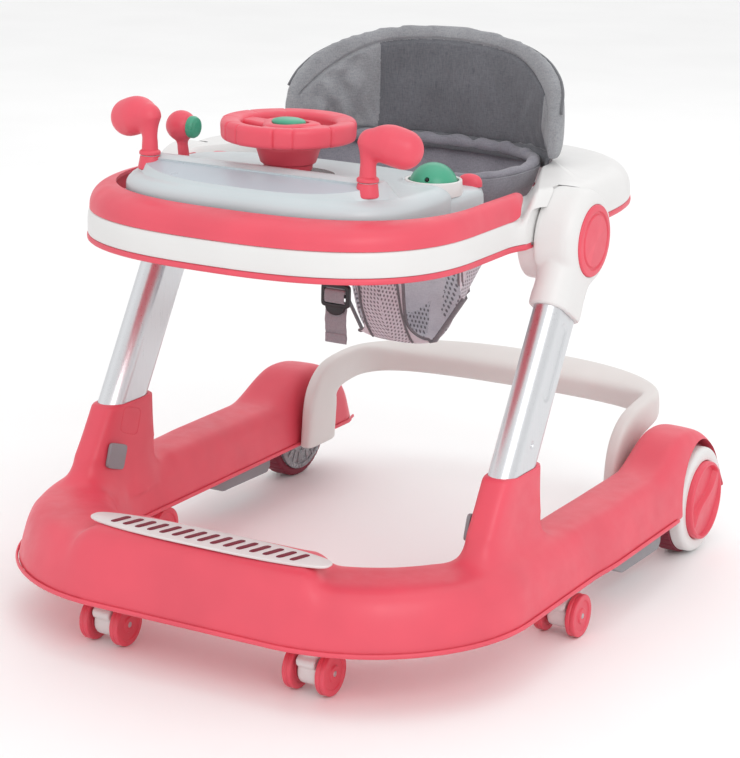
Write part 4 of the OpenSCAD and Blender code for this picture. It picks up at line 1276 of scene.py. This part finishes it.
def make_back():
    rings = []
    for k in np.linspace(0, 1, 61):
        a = math.radians(-90 + 180 * k)
        c, n, h = back_frame(a)
        e = min(1.0, 0.72 + min(k, 1 - k) * 6)
        sec = oval(9.0 * e, (h - 5) / 2 * (0.9 + 0.1 * e), 2.6, 48)
        rings.append(np.column_stack([c[0] + n[0] * sec[:, 0], c[1] + n[1] * sec[:, 0], BACK_LOW + 1 + h / 2 + sec[:, 1]]))
    o = loft("back_cushion", rings)
    voxel(o, 4.5)

    def hold(co):
        a, v, d = back_place(co)
        inner = smooth((-d - 1) / 3)
        seam = smooth((0.035 - np.abs(v - seam_height(a))) / 0.02)
        ribs = smooth((2.2 - np.abs(np.abs(a) - 33)) / 1.4) * (v < seam_height(a))
        foot = smooth((0.06 - v) / 0.04)
        return np.clip(np.maximum(np.maximum(seam, ribs) * inner, foot), 0, 1)

    inflate(o, 7.0, 4.0, hold)
    for _ in range(2):
        add_modifier(o, "SUBSURF", "finer", levels=1, render_levels=1)
    co = coords(o)
    a, v, d = back_place(co)
    r = np.radians(a)
    n = np.column_stack([np.sin(r) * 0.75, np.cos(r)])
    n /= np.linalg.norm(n, axis=1, keepdims=True)
    inner = smooth((-d - 1) / 4)
    sv = seam_height(a)
    dist = (v - sv) * 100
    panel = (a > -33) & (v < sv) & (a < 64)
    dent = 2.6 * np.exp(-(dist / 1.8) ** 2) * (np.abs(a) < 84)
    dent += 1.6 * np.exp(-((a + 33) / 1.5) ** 2) * smooth((sv - v) / 0.05)
    dent += 0.8 * np.exp(-((a - 64) / 1.8) ** 2) * smooth((sv - v) / 0.05)
    # diagonal pulls in the left wing and fine vertical drags in the middle panel
    wing = smooth((a + 76) / 12) * smooth((-36 - a) / 10) * smooth((sv - v) / 0.12) * smooth((v - 0.02) / 0.1)
    pull = np.sin((a * 0.62 + v * 26) * 0.55 + 1.2 * lump(co, 5, 60)) * 2.8 + np.sin((a * 0.9 - v * 17) * 0.42) * 1.6
    drag = lump(np.column_stack([a * 1.2, v * 12, v * 0]), 9, 9) * 0.7
    fold = smooth((0.24 - v) / 0.2)
    push = -dent - wing * pull - drag * panel * (0.4 + fold) + 1.2 * lump(co, 3, 90)
    co[:, :2] -= n * (inner * push)[:, None]
    co[:, 2] += (1 - inner) * 0.8 * lump(co, 21, 50)
    put(o, co)
    sharp(o, 60)
    paint(o, "weave")
    o.data.materials.append(MATS["weave_dark"])
    c = np.array([list(f.center) for f in o.data.polygons]) / MM
    a, v, d = back_place(c)
    # the middle panel between the seams at -33° and 33° is darker melange; past 33° on the right wing the same dark
    # cloth runs on to 64°, and that part is painted shade where the wing's inner face turns away from the key light
    dark = (a > -33) & (a < 64) & (v < seam_height(a)) & (d < -3)
    for f, k in zip(o.data.polygons, dark):
        f.material_index = 1 if k else 0
    piece(o, "seat_frame", None, "padding", "seat_back")
    # piping along the outer edge of the back
    path = []
    for q in np.radians(np.linspace(-86, 86, 120)):
        c, n, h = back_frame(q)
        path.append((c[0] + n[0] * 10.5, c[1] + n[1] * 10.5, BACK_LOW + 1 + h * 0.955 - 1))
    p = skin_path(o, np.array(path), 1.2)
    piece(tube("back_piping", p, 1.5, 10, up=(0, 0, 1)), "seat_frame", "piping", "padding")


def skin_path(o, path, lift_by=0.6):
    """Moves the points of a path onto the nearest place on a mesh, a little above its surface."""
    bm = bmesh.new()
    bm.from_mesh(o.data)
    tree = BVHTree.FromBMesh(bm)
    out = []
    for p in path:
        hit, n, _, _ = tree.find_nearest(Vector(p) * MM)
        out.append(np.array(hit + n * lift_by * MM) / MM)
    bm.free()
    out = np.array(out)
    for _ in range(3):
        out[1:-1] = (out[:-2] + out[1:-1] * 2 + out[2:]) / 4
    return out


def sling_ring(z, t, n=160):
    w, fd, bd, mid = (np.interp(z, SLING[:, 0], SLING[:, k]) for k in (1, 2, 3, 4))
    a = np.arange(n) * 2 * np.pi / n
    c, s = bow(np.cos(a), 2.5), bow(np.sin(a), 2.5)
    return np.column_stack([(w - t) * c, mid + np.where(s > 0, bd - t, fd - t) * s, np.full(n, float(z))])


def hole_outline(r=31.0, n=28):
    a = np.linspace(0, np.pi, n)
    top = np.column_stack([r * np.cos(a), 88 + r * np.sin(a)])
    low = np.column_stack([-r * np.cos(a), -r * np.sin(a)])
    side = np.linspace(0, 88, 18)[1:-1]
    left = np.column_stack([np.full(len(side), -r), side[::-1]])
    right = np.column_stack([np.full(len(side), r), side])
    return np.concatenate([top, left, low, right])


def hole_place(x, y, z, s=1):
    """Point of a leg opening's cutter: across, outward (negative) and up, to the seat's own place."""
    q = math.radians(16.8)
    px, py = 57 + x * math.cos(q) - y * math.sin(q), -2 + x * math.sin(q) + y * math.cos(q)
    return (s * px, py, 283 + z)


def make_sling():
    levels = np.concatenate([np.linspace(444, 290, 52), np.linspace(288, 245, 26)])
    outer = [sling_ring(z, 0) for z in levels]
    foot = outer[-1].mean(0)
    caps_out = [foot + (outer[-1] - foot) * k for k in (0.7, 0.4, 0.1)]
    inner = [sling_ring(z, SLING_WALL) for z in levels]
    inner = [np.column_stack([r[:, :2], r[:, 2] + (SLING_WALL if r[0, 2] < 300 else 0)]) for r in inner]
    caps_in = [c + np.array([0, 0, SLING_WALL]) for c in caps_out]
    o = loft("seat_cloth", outer + caps_out + caps_in[::-1] + inner[::-1], closed=True)
    relax(o, 8, lambda co: smooth((436 - co[:, 2]) / 20))
    co = coords(o)
    slack = smooth((440 - co[:, 2]) / 30) * smooth((co[:, 2] - 250) / 20)
    co[:, :2] += (slack * 1.4 * lump(co, 31, 80))[:, None] * (co[:, :2] - [0, 25]) / 110
    put(o, co)
    bm = bmesh.new()
    bm.from_mesh(o.data)
    tree = BVHTree.FromBMesh(bm)
    bm.free()
    rims, cutters = [], []
    line = hole_outline()
    for s in (1, -1):
        rim = []
        for x, z in line:
            a, b = Vector(hole_place(x, 45, z, s)) * MM, Vector(hole_place(x, -110, z, s)) * MM
            hit, _, _, _ = tree.ray_cast(a, (b - a).normalized())
            if hit is not None:
                rim.append(np.array(hit) / MM)
        rims.append(np.array(rim))
        cutters.append(loft("hole", [[hole_place(x, y, z, s) for x, z in line] for y in (45, -110)]))
    # the middle strip between the openings, and the lines of its piping, are found before the openings are cut
    strips = []
    for s in (1, -1):
        run = []
        for z in np.linspace(392, 250, 60):
            x = s * (24 + 10 * float(smooth((z - 340) / 50)))
            hit, _, _, _ = tree.ray_cast(Vector((x, -150, z)) * MM, Vector((0, 1, 0)))
            if hit is not None:
                run.append(np.array(hit) / MM + np.array([0, -0.8, -0.2]))
        strips.append(np.array(run))
    cut(o, cutters)
    sharp(o, 50)
    paint(o, "lining")
    o.data.materials.append(MATS["mesh"])
    o.data.materials.append(MATS["lining_grey"])
    for f in o.data.polygons:
        c = f.center / MM
        near = abs(c.x) < 24 + 10 * float(smooth((c.z - 340) / 50)) and c.y < 60
        side = abs(c.x) > 40 and c.z < 400 and c.y > 6 and c.z > 250 + 1.1 * (c.y - 30)
        f.material_index = 1 if near or side else 2 if c.z > 396 else 0
    bind = [tube("b", r, 2.7, 12, closed=True, squash=(1.25, 0.75), up=(0, 0.4, 1)) for r in rims]
    bind = join("opening_binding", bind)
    pipe = join("strip_piping", [tube("p", r, 1.3, 8, up=(1, 0, 0)) for r in strips])
    top = sling_ring(444, 6.5, 260)
    top[:, 2] = 446
    k = lump(top, 41, 30, 2)
    back = smooth((top[:, 1] - 20) / 60)
    top[:, 2] += 1.2 * k + 1.5 * back
    roll = tube("seat_top_roll", top, 4.6 + 1.4 * k * back + 1.6 * back, 16, closed=True)
    # cloth that closes the gap between the seat's edge and the foot of the back
    rows = []
    for q in np.radians(np.linspace(-80, 80, 140)):
        c, n, _ = back_frame(q)
        w = 1.2 * math.sin(q * 23) * math.cos(q * 7)
        fold = ((2, 456), (7 + w, 450), (9.5 + w, 439), (8 + w, 439), (5.5 + w, 450), (0.5, 456))
        rows.append([(c[0] - n[0] * d, c[1] - n[1] * d, z) for d, z in fold])
    skirt = loft("back_skirt", rows)
    piece(skirt, "seat_frame", "weave_dark", "mesh_cloth")
    piece(bind, "seat_frame", "binding", "mesh_cloth")
    piece(pipe, "seat_frame", "piping", "mesh_cloth")
    piece(roll, "seat_frame", "lining_grey", "mesh_cloth")
    piece(o, "seat_frame", None, "mesh_cloth", "seat_sling")


def ribbon(name, path, x0, x1, thick, wave=0.0):
    """Webbing that follows (y, z) points, between two x places."""
    path = np.array(path, float)
    t = np.gradient(path, axis=0)
    t /= np.linalg.norm(t, axis=1, keepdims=True)
    n = np.column_stack([-t[:, 1], t[:, 0]])
    rings = []
    for i in range(len(path)):
        sec = oval((x1 - x0) / 2, thick / 2, 6, 20)
        bend = wave * np.sin(sec[:, 0] / 7 + i * 0.5)
        off = (sec[:, 1] + bend)[:, None]
        rings.append(np.column_stack([(x0 + x1) / 2 + sec[:, 0], path[i] + n[i] * off]))
    return loft(name, rings)


def curve(points, count):
    """Smooth line through (y, z) points."""
    p = np.array(points, float)
    t = np.linspace(0, len(p) - 1, count)
    out = np.column_stack([np.interp(t, np.arange(len(p)), p[:, k]) for k in range(p.shape[1])])
    for _ in range(12):
        out[1:-1] = (out[:-2] + out[1:-1] * 2 + out[2:]) / 4
    return out


def make_straps():
    lo, hi = -12.5, 12.5
    upper = ribbon("u", curve([(-99.2, 391.5), (-99.4, 372), (-99.6, 352), (-99.8, 336), (-100, 327)], 40), lo, hi, 1.6)
    wrap = ribbon("w", curve([(-98.2, 329), (-103.4, 327.5), (-104, 321), (-103.4, 315.5), (-98.4, 314)], 40), lo + 1, hi - 1, 1.5)
    tail = ribbon("t", curve([(-98.6, 316), (-98.6, 308), (-100.4, 298), (-99.4, 288), (-97.8, 279), (-98.4, 272)], 60), lo, hi, 1.6, 0.25)
    hem = ribbon("h", curve([(-99.6, 282), (-99.3, 277), (-99.6, 272.6)], 12), lo + 0.3, hi - 0.3, 1.5)
    piece(sharp(join("crotch_webbing", [upper, wrap, tail, hem]), 50), "seat_frame", "webbing", "webbing", "crotch_strap")
    # ladder-lock buckle: frame, cross bar and thumb tab
    at = Matrix.Translation(Vector((0, -100, 322)) * MM) @ Matrix.Rotation(math.radians(90), 4, "X")
    frame_o = prism("f", oval(16.5, 12.2, 7, 64), -2.6, 2.6, 1.1, 3)
    hole = prism("h", oval(12.7, 8.6, 8, 48), -8, 8, 0.4)
    cut(frame_o, [hole])
    bar = box_mesh("b", (-13.6, -1.8, -1.6), (13.6, 1.8, 1.6), 1.1)
    t = np.linspace(np.pi, 2 * np.pi, 32)
    tab = np.column_stack([11.5 * np.cos(t), -10.8 + 9.5 * np.sin(t)])
    tab_o = prism("t", tab, -1.6, 2.8, 1.0, 3)
    o = join("ladder_lock", [frame_o, bar, tab_o])
    o.data.transform(at)
    tidy_mesh(o)
    piece(sharp(o, 40), "seat_frame", "black", "black", "strap_buckle")


def make_seat():
    make_back()
    make_sling()
    make_straps()


# ---------------------------------------------------------------- toys


def ellipsoid(name, c, r, n=40, m=64):
    rings = []
    for a in np.linspace(-np.pi / 2 + 0.02, np.pi / 2 - 0.02, n):
        t = np.arange(m) * 2 * np.pi / m
        rings.append(np.column_stack([c[0] + r[0] * math.cos(a) * np.cos(t), c[1] + r[1] * math.cos(a) * np.sin(t),
                                      np.full(m, c[2] + r[2] * math.sin(a))]))
    return loft(name, rings)


def make_toys():
    # steering wheel
    sx, sy = WHEEL
    prof = arc_prof([(46, 496.5), (65.5, 495.5), (66.5, 516.5), (46, 514)], [6, 5.5, 6.5, 6.5], 7)
    rim = revolve("rim", prof, 360, "z", (sx, sy, 0))
    co = coords(rim)
    a = np.degrees(np.arctan2(co[:, 1] - sy, co[:, 0] - sx)) % 360
    r = np.hypot(co[:, 0] - sx, co[:, 1] - sy)
    seam = np.zeros(len(co))
    for q in (20, 55, 125, 160, 200, 235, 252, 288, 305, 340):
        dd = np.abs((a - q + 180) % 360 - 180)
        seam = np.maximum(seam, smooth((1.4 - dd) / 1.0))
    grip = np.zeros(len(co))
    for q0, q1 in ((-20, 20), (160, 200), (252, 288)):
        mid, hw = (q0 + q1) / 2, (q1 - q0) / 2
        dd = np.abs((a - mid + 180) % 360 - 180)
        grip = np.maximum(grip, smooth((hw - dd) / 1.2))
    out = smooth((r - 52) / 6)
    k = 1 + (-0.9 * seam * (0.4 + out) + 0.9 * grip * out - 0.6) / r
    co[:, 0], co[:, 1] = sx + (co[:, 0] - sx) * k, sy + (co[:, 1] - sy) * k
    co[:, 2] = 506 + (co[:, 2] - 506) * (1 - 0.05 * seam)
    put(rim, co)
    parts = [rim]
    for a in (0, 180, 270):
        rows = []
        for d, hw, z0, z1 in ((16, 14, 492, 511), (28, 12.5, 494, 511), (38, 10.5, 497, 511.5), (50, 11, 498, 512)):
            q = math.radians(a)
            ring = np.array(arc_prof([(-hw, z0), (hw, z0), (hw, z1), (-hw, z1)], 3.6, 5))
            c, s = math.cos(q), math.sin(q)
            rows.append(np.column_stack([sx + d * c - ring[:, 0] * s, sy + d * s + ring[:, 0] * c, ring[:, 1]]))
        parts.append(loft("spoke", rows))
    t = np.arange(180) * 2 * np.pi / 180
    lobes = []
    for scale, z in ((0.6, 489), (0.8, 488.2), (0.94, 489), (1.0, 491), (1.0, 500), (1.0, 507.5), (0.975, 510),
                     (0.93, 511.4), (0.84, 512.2), (0.68, 512.6), (0.62, 511.8), (0.6, 510)):
        rr = (29 + 3.5 * np.cos(3 * (t - math.radians(90)) + math.pi)) * scale
        lobes.append(np.column_stack([sx + rr * np.cos(t), sy + rr * np.sin(t) * 0.94, np.full(180, z)]))
    parts.append(loft("lobes", lobes))
    parts.append(revolve("cone", arc_prof([(0.01, 466), (23, 466), (24, 472), (27, 474), (31.5, 488), (32, 494), (0.01, 494)],
                                          [0, 2, 1, 1.5, 2, 1, 0], 4), 96, "z", (sx, sy, 0)))
    parts.append(revolve("shaft", [(0.01, 440), (7, 440), (7, 468), (0.01, 468)], 32, "z", (sx, sy, 0)))
    piece(sharp(join("toy_steering_wheel", parts), 42), "steering_wheel", "coral", "coral", "steering_wheel")
    cap = []
    for scale, z in ((0.94, 507), (1.0, 508), (1.0, 512.6), (0.97, 513.6), (0.88, 514.6), (0.7, 515.5), (0.45, 516), (0.15, 516.2), (0.02, 516.2)):
        cap.append(np.column_stack([sx + 17.2 * scale * np.cos(t), sy + 14.5 * scale * np.sin(t), np.full(180, z)]))
    piece(sharp(loft("horn_cap", cap), 50), "steering_button", "green", "green", "steering_button")
    # smoked base plate
    plate = prism("wheel_base_plate", oval(44, 28, 2.2, 96) + np.array([0, sy + 8]), 460.6, 463.4, 1.0, 4)
    c = revolve("c", [(0.01, 455), (15.5, 455), (15.5, 470), (0.01, 470)], 48, "z", (0, sy, 0))
    piece(sharp(cut(plate, [c]), 40), "seat_frame", "clear", "smoke", "steering_plate")
    # club-shaped knobs
    for s, side in ((1, "right"), (-1, "left")):
        stem = revolve("st", arc_prof([(0.01, 478), (8.2, 478), (7.6, 490), (8.4, 503), (11, 514), (0.01, 520)], [0, 1, 6, 6, 3, 0], 6), 64, "z", (*CLUB, 0))
        turn = math.radians(19)
        parts = [stem]
        for k in np.linspace(0, 1, 11):
            reach = mix(3, 33, k)
            r = mix(13, 19, float(smooth(k * 1.6))) - 0.5 * k ** 3
            parts.append(ellipsoid("e", (121 + reach * math.cos(turn), -254 + reach * math.sin(turn), mix(513, 508, k) + 1.5 * math.sin(math.pi * k)),
                                   np.array([1, 0.98, 1]) * r, 28, 40))
        o = join("club_knob_" + side, parts)
        voxel(o, 1.1)
        relax(o, 5)
        relax(o, 50, lambda co: smooth((12 - np.abs(co[:, 2] - 501)) / 5) * smooth((24 - np.hypot(co[:, 0] - 121, co[:, 1] + 254)) / 6))
        foot = revolve("ft", arc_prof([(0.01, 476.6), (10.4, 476.6), (10.4, 479.4), (8.6, 481), (0.01, 481)], [0, 0.8, 1.2, 1, 0], 4), 64, "z", (*CLUB, 0))
        pin = revolve("pn", [(0.01, 453), (6, 453), (6, 478), (0.01, 478)], 32, "z", (*CLUB, 0))
        o = join("club_knob_" + side, [o, foot, pin])
        if s < 0:
            mirror_x(o)
        piece(sharp(o, 45), "club_" + side, "coral", "coral", "club_" + side)
    # gear lever with ball and green disc
    lx, ly, lz = -134, -176, 452
    ball = ellipsoid("b", (lx - 3, ly, lz + 40), (15.5, 15.5, 15.5))
    path = [(lx, ly, lz), (lx, ly, lz + 6), (lx - 0.4, ly, lz + 13), (lx - 1.4, ly, lz + 20), (lx - 2.4, ly, lz + 28), (lx - 3, ly, lz + 34)]
    stem = tube("s", path, [5.8, 5.8, 5.6, 5.5, 6.0, 8.0], 32, up=(0, 1, 0))
    o = join("shift_knob", [ball, stem])
    voxel(o, 0.9)
    relax(o, 4)
    relax(o, 30, lambda co: smooth((9 - np.abs(co[:, 2] - (lz + 27))) / 4))
    hub = revolve("h", arc_prof([(0.01, -5), (7.8, -5), (7.8, 5), (0.01, 5)], [0, 1, 1, 0], 3), 48, "x", (lx, ly, lz))
    ax = revolve("a", [(0.01, -11.4), (3, -11.4), (3, 11.4), (0.01, 11.4)], 24, "x", (lx, ly, lz))
    piece(sharp(join("shift_knob", [o, hub, ax]), 45), "gear_lever", "coral", "coral", "gear_lever")
    d = revolve("shift_disc", arc_prof([(0.01, 4), (11, 4), (11, 8.0), (9.6, 10.6), (5, 11.8), (0.01, 12)], [0, 0.5, 1.5, 2, 2, 0], 5), 64, "x",
                (lx + 4.4, ly, lz + 40))
    piece(sharp(d, 50), "gear_lever", "green", "green", "gear_disc")
    # dome button with a small hole
    prof = [(0.01, 460.5)] + [(24 * math.cos(a), 454 + 24 * math.sin(a)) for a in np.linspace(0.275, np.pi / 2 - 0.02, 30)] + [(0.01, 478)]
    o = revolve("dome_cap", prof, 96, "z", DOME_AT)
    az, el = math.radians(-80), math.radians(27)
    c = np.array([128 + 24 * math.cos(el) * math.cos(az), -138 + 24 * math.cos(el) * math.sin(az), 454 + 24 * math.sin(el)])
    o = cut(o, [ellipsoid("e", c, (2.6, 2.6, 2.6), 14, 20)])
    stem = revolve("s", [(0.01, 444), (6, 444), (6, 462), (0.01, 462)], 32, "z", DOME_AT)
    piece(sharp(join("dome_cap", [o, stem]), 50), "dome_button", "green", "green", "dome_button")
    e = ellipsoid("dome_eye", c - (c - np.array([128, -138, 454])) / 24 * 1.6, (1.9, 1.9, 1.9), 12, 20)
    piece(e, "dome_button", "hole", "green")
    # keys beside the tray
    rows = []
    for k, z in ((1.0, 449.6), (1.0, 452.4), (0.97, 454.6), (0.9, 456.8), (0.76, 458.8), (0.52, 460.3), (0.2, 461.2), (0.02, 461.3)):
        rows.append(np.column_stack([oval(12.5 * k, 7.6 * k, 2.3, 64) + np.array([143, -90]), np.full(64, z)]))
    knob = loft("k", rows)
    stem = revolve("s", [(0.01, 436), (6, 436), (6, 452), (0.01, 452)], 32, "z", (143, -90, 0))
    piece(sharp(join("key_knob", [knob, stem]), 45), "turn_key", "coral", "coral", "turn_key")
    rows = []
    for k, z in ((0.98, 447.4), (1.0, 448), (1.0, 450.2), (0.94, 451.4), (0.8, 452.2), (0.5, 452.7), (0.1, 452.9)):
        rows.append(np.column_stack([oval(13 * k, 7 * k, 2.3, 64) + np.array([-143, -90]), np.full(64, z)]))
    piece(sharp(loft("flat_key", rows), 45), "seat_frame", "coral", "coral", "side_keys")


# ---------------------------------------------------------------- stage, lights and camera


def make_stage():
    bpy.ops.mesh.primitive_grid_add(x_subdivisions=24, y_subdivisions=24, size=60, location=(0, 0, -0.0005))
    fl = bpy.context.object
    fl.name = "floor"
    m = Mat("pale_floor")
    m.set(Base_Color=m.ramp(m.noise(3, 2), [(0.3, (0.95, 0.95, 0.95)), (0.7, (0.98, 0.98, 0.98))]))
    m.set(Roughness=m.span(m.noise(40, 2), 0.6, 0.75, 0.3, 0.7))
    fl.data.materials.append(m.m)
    w = bpy.data.worlds.new("studio")
    bpy.context.scene.world = w
    w.use_nodes = True
    bg = w.node_tree.nodes["Background"]
    bg.inputs["Color"].default_value = (1, 1, 1, 1)
    bg.inputs["Strength"].default_value = 0.93
    for name, loc, power, size in (("key", (2.4, -2.2, 2.4), 30, 1.8), ("top", (0.3, 0.2, 3.2), 9, 2.4),
                                   ("fill", (-2.6, -1.4, 1.4), 2, 2.2), ("back", (-0.6, 2.6, 2.2), 7, 2.2)):
        li = bpy.data.lights.new(name, "AREA")
        li.energy = power
        li.size = size
        lo = bpy.data.objects.new(name, li)
        lo.location = loc
        lo.rotation_euler = (Vector((0, 0, 0.25)) - Vector(loc)).to_track_quat("-Z", "Y").to_euler()
        bpy.context.scene.collection.objects.link(lo)
    az, el, roll = math.radians(29.25), math.radians(15.51), math.radians(1.21)
    back = Vector((math.sin(az) * math.cos(el), -math.cos(az) * math.cos(el), math.sin(el)))
    right = Vector((math.cos(az), math.sin(az), 0))
    up = back.cross(right)
    x = right * math.cos(roll) + up * math.sin(roll)
    y = up * math.cos(roll) - right * math.sin(roll)
    cam = bpy.data.cameras.new("camera")
    cam.sensor_width = 36
    cam.sensor_fit = "AUTO"
    cam.lens = 113.83
    cam.clip_end = 50
    co = bpy.data.objects.new("camera", cam)
    co.matrix_world = Matrix.Translation(Vector((1.1859, -2.1435, 0.8905))) @ Matrix((x, y, back)).transposed().to_4x4()
    bpy.context.scene.collection.objects.link(co)
    bpy.context.scene.camera = co
    bpy.context.scene.view_settings.view_transform = "Standard"


# ---------------------------------------------------------------- build
make_stage()
make_base()
make_locks()
make_pads()
make_wheels()
make_casters()
make_push_bar()
make_legs()
make_ring()
make_tray()
make_toys()
make_seat()

for name, key in {"under_cover": "coral", "axle_brackets": "coral", "rear_axles": "steel", "base_screws": "steel", "bar_pins": "steel",
                  "pivot_shafts": "steel", "toy_sockets": "tray", "pivot_bosses": "white", "tray_screws": "steel"}.items():
    n = NODES[name]
    n.data.materials.clear()
    n.data.materials.append(MATS[key])
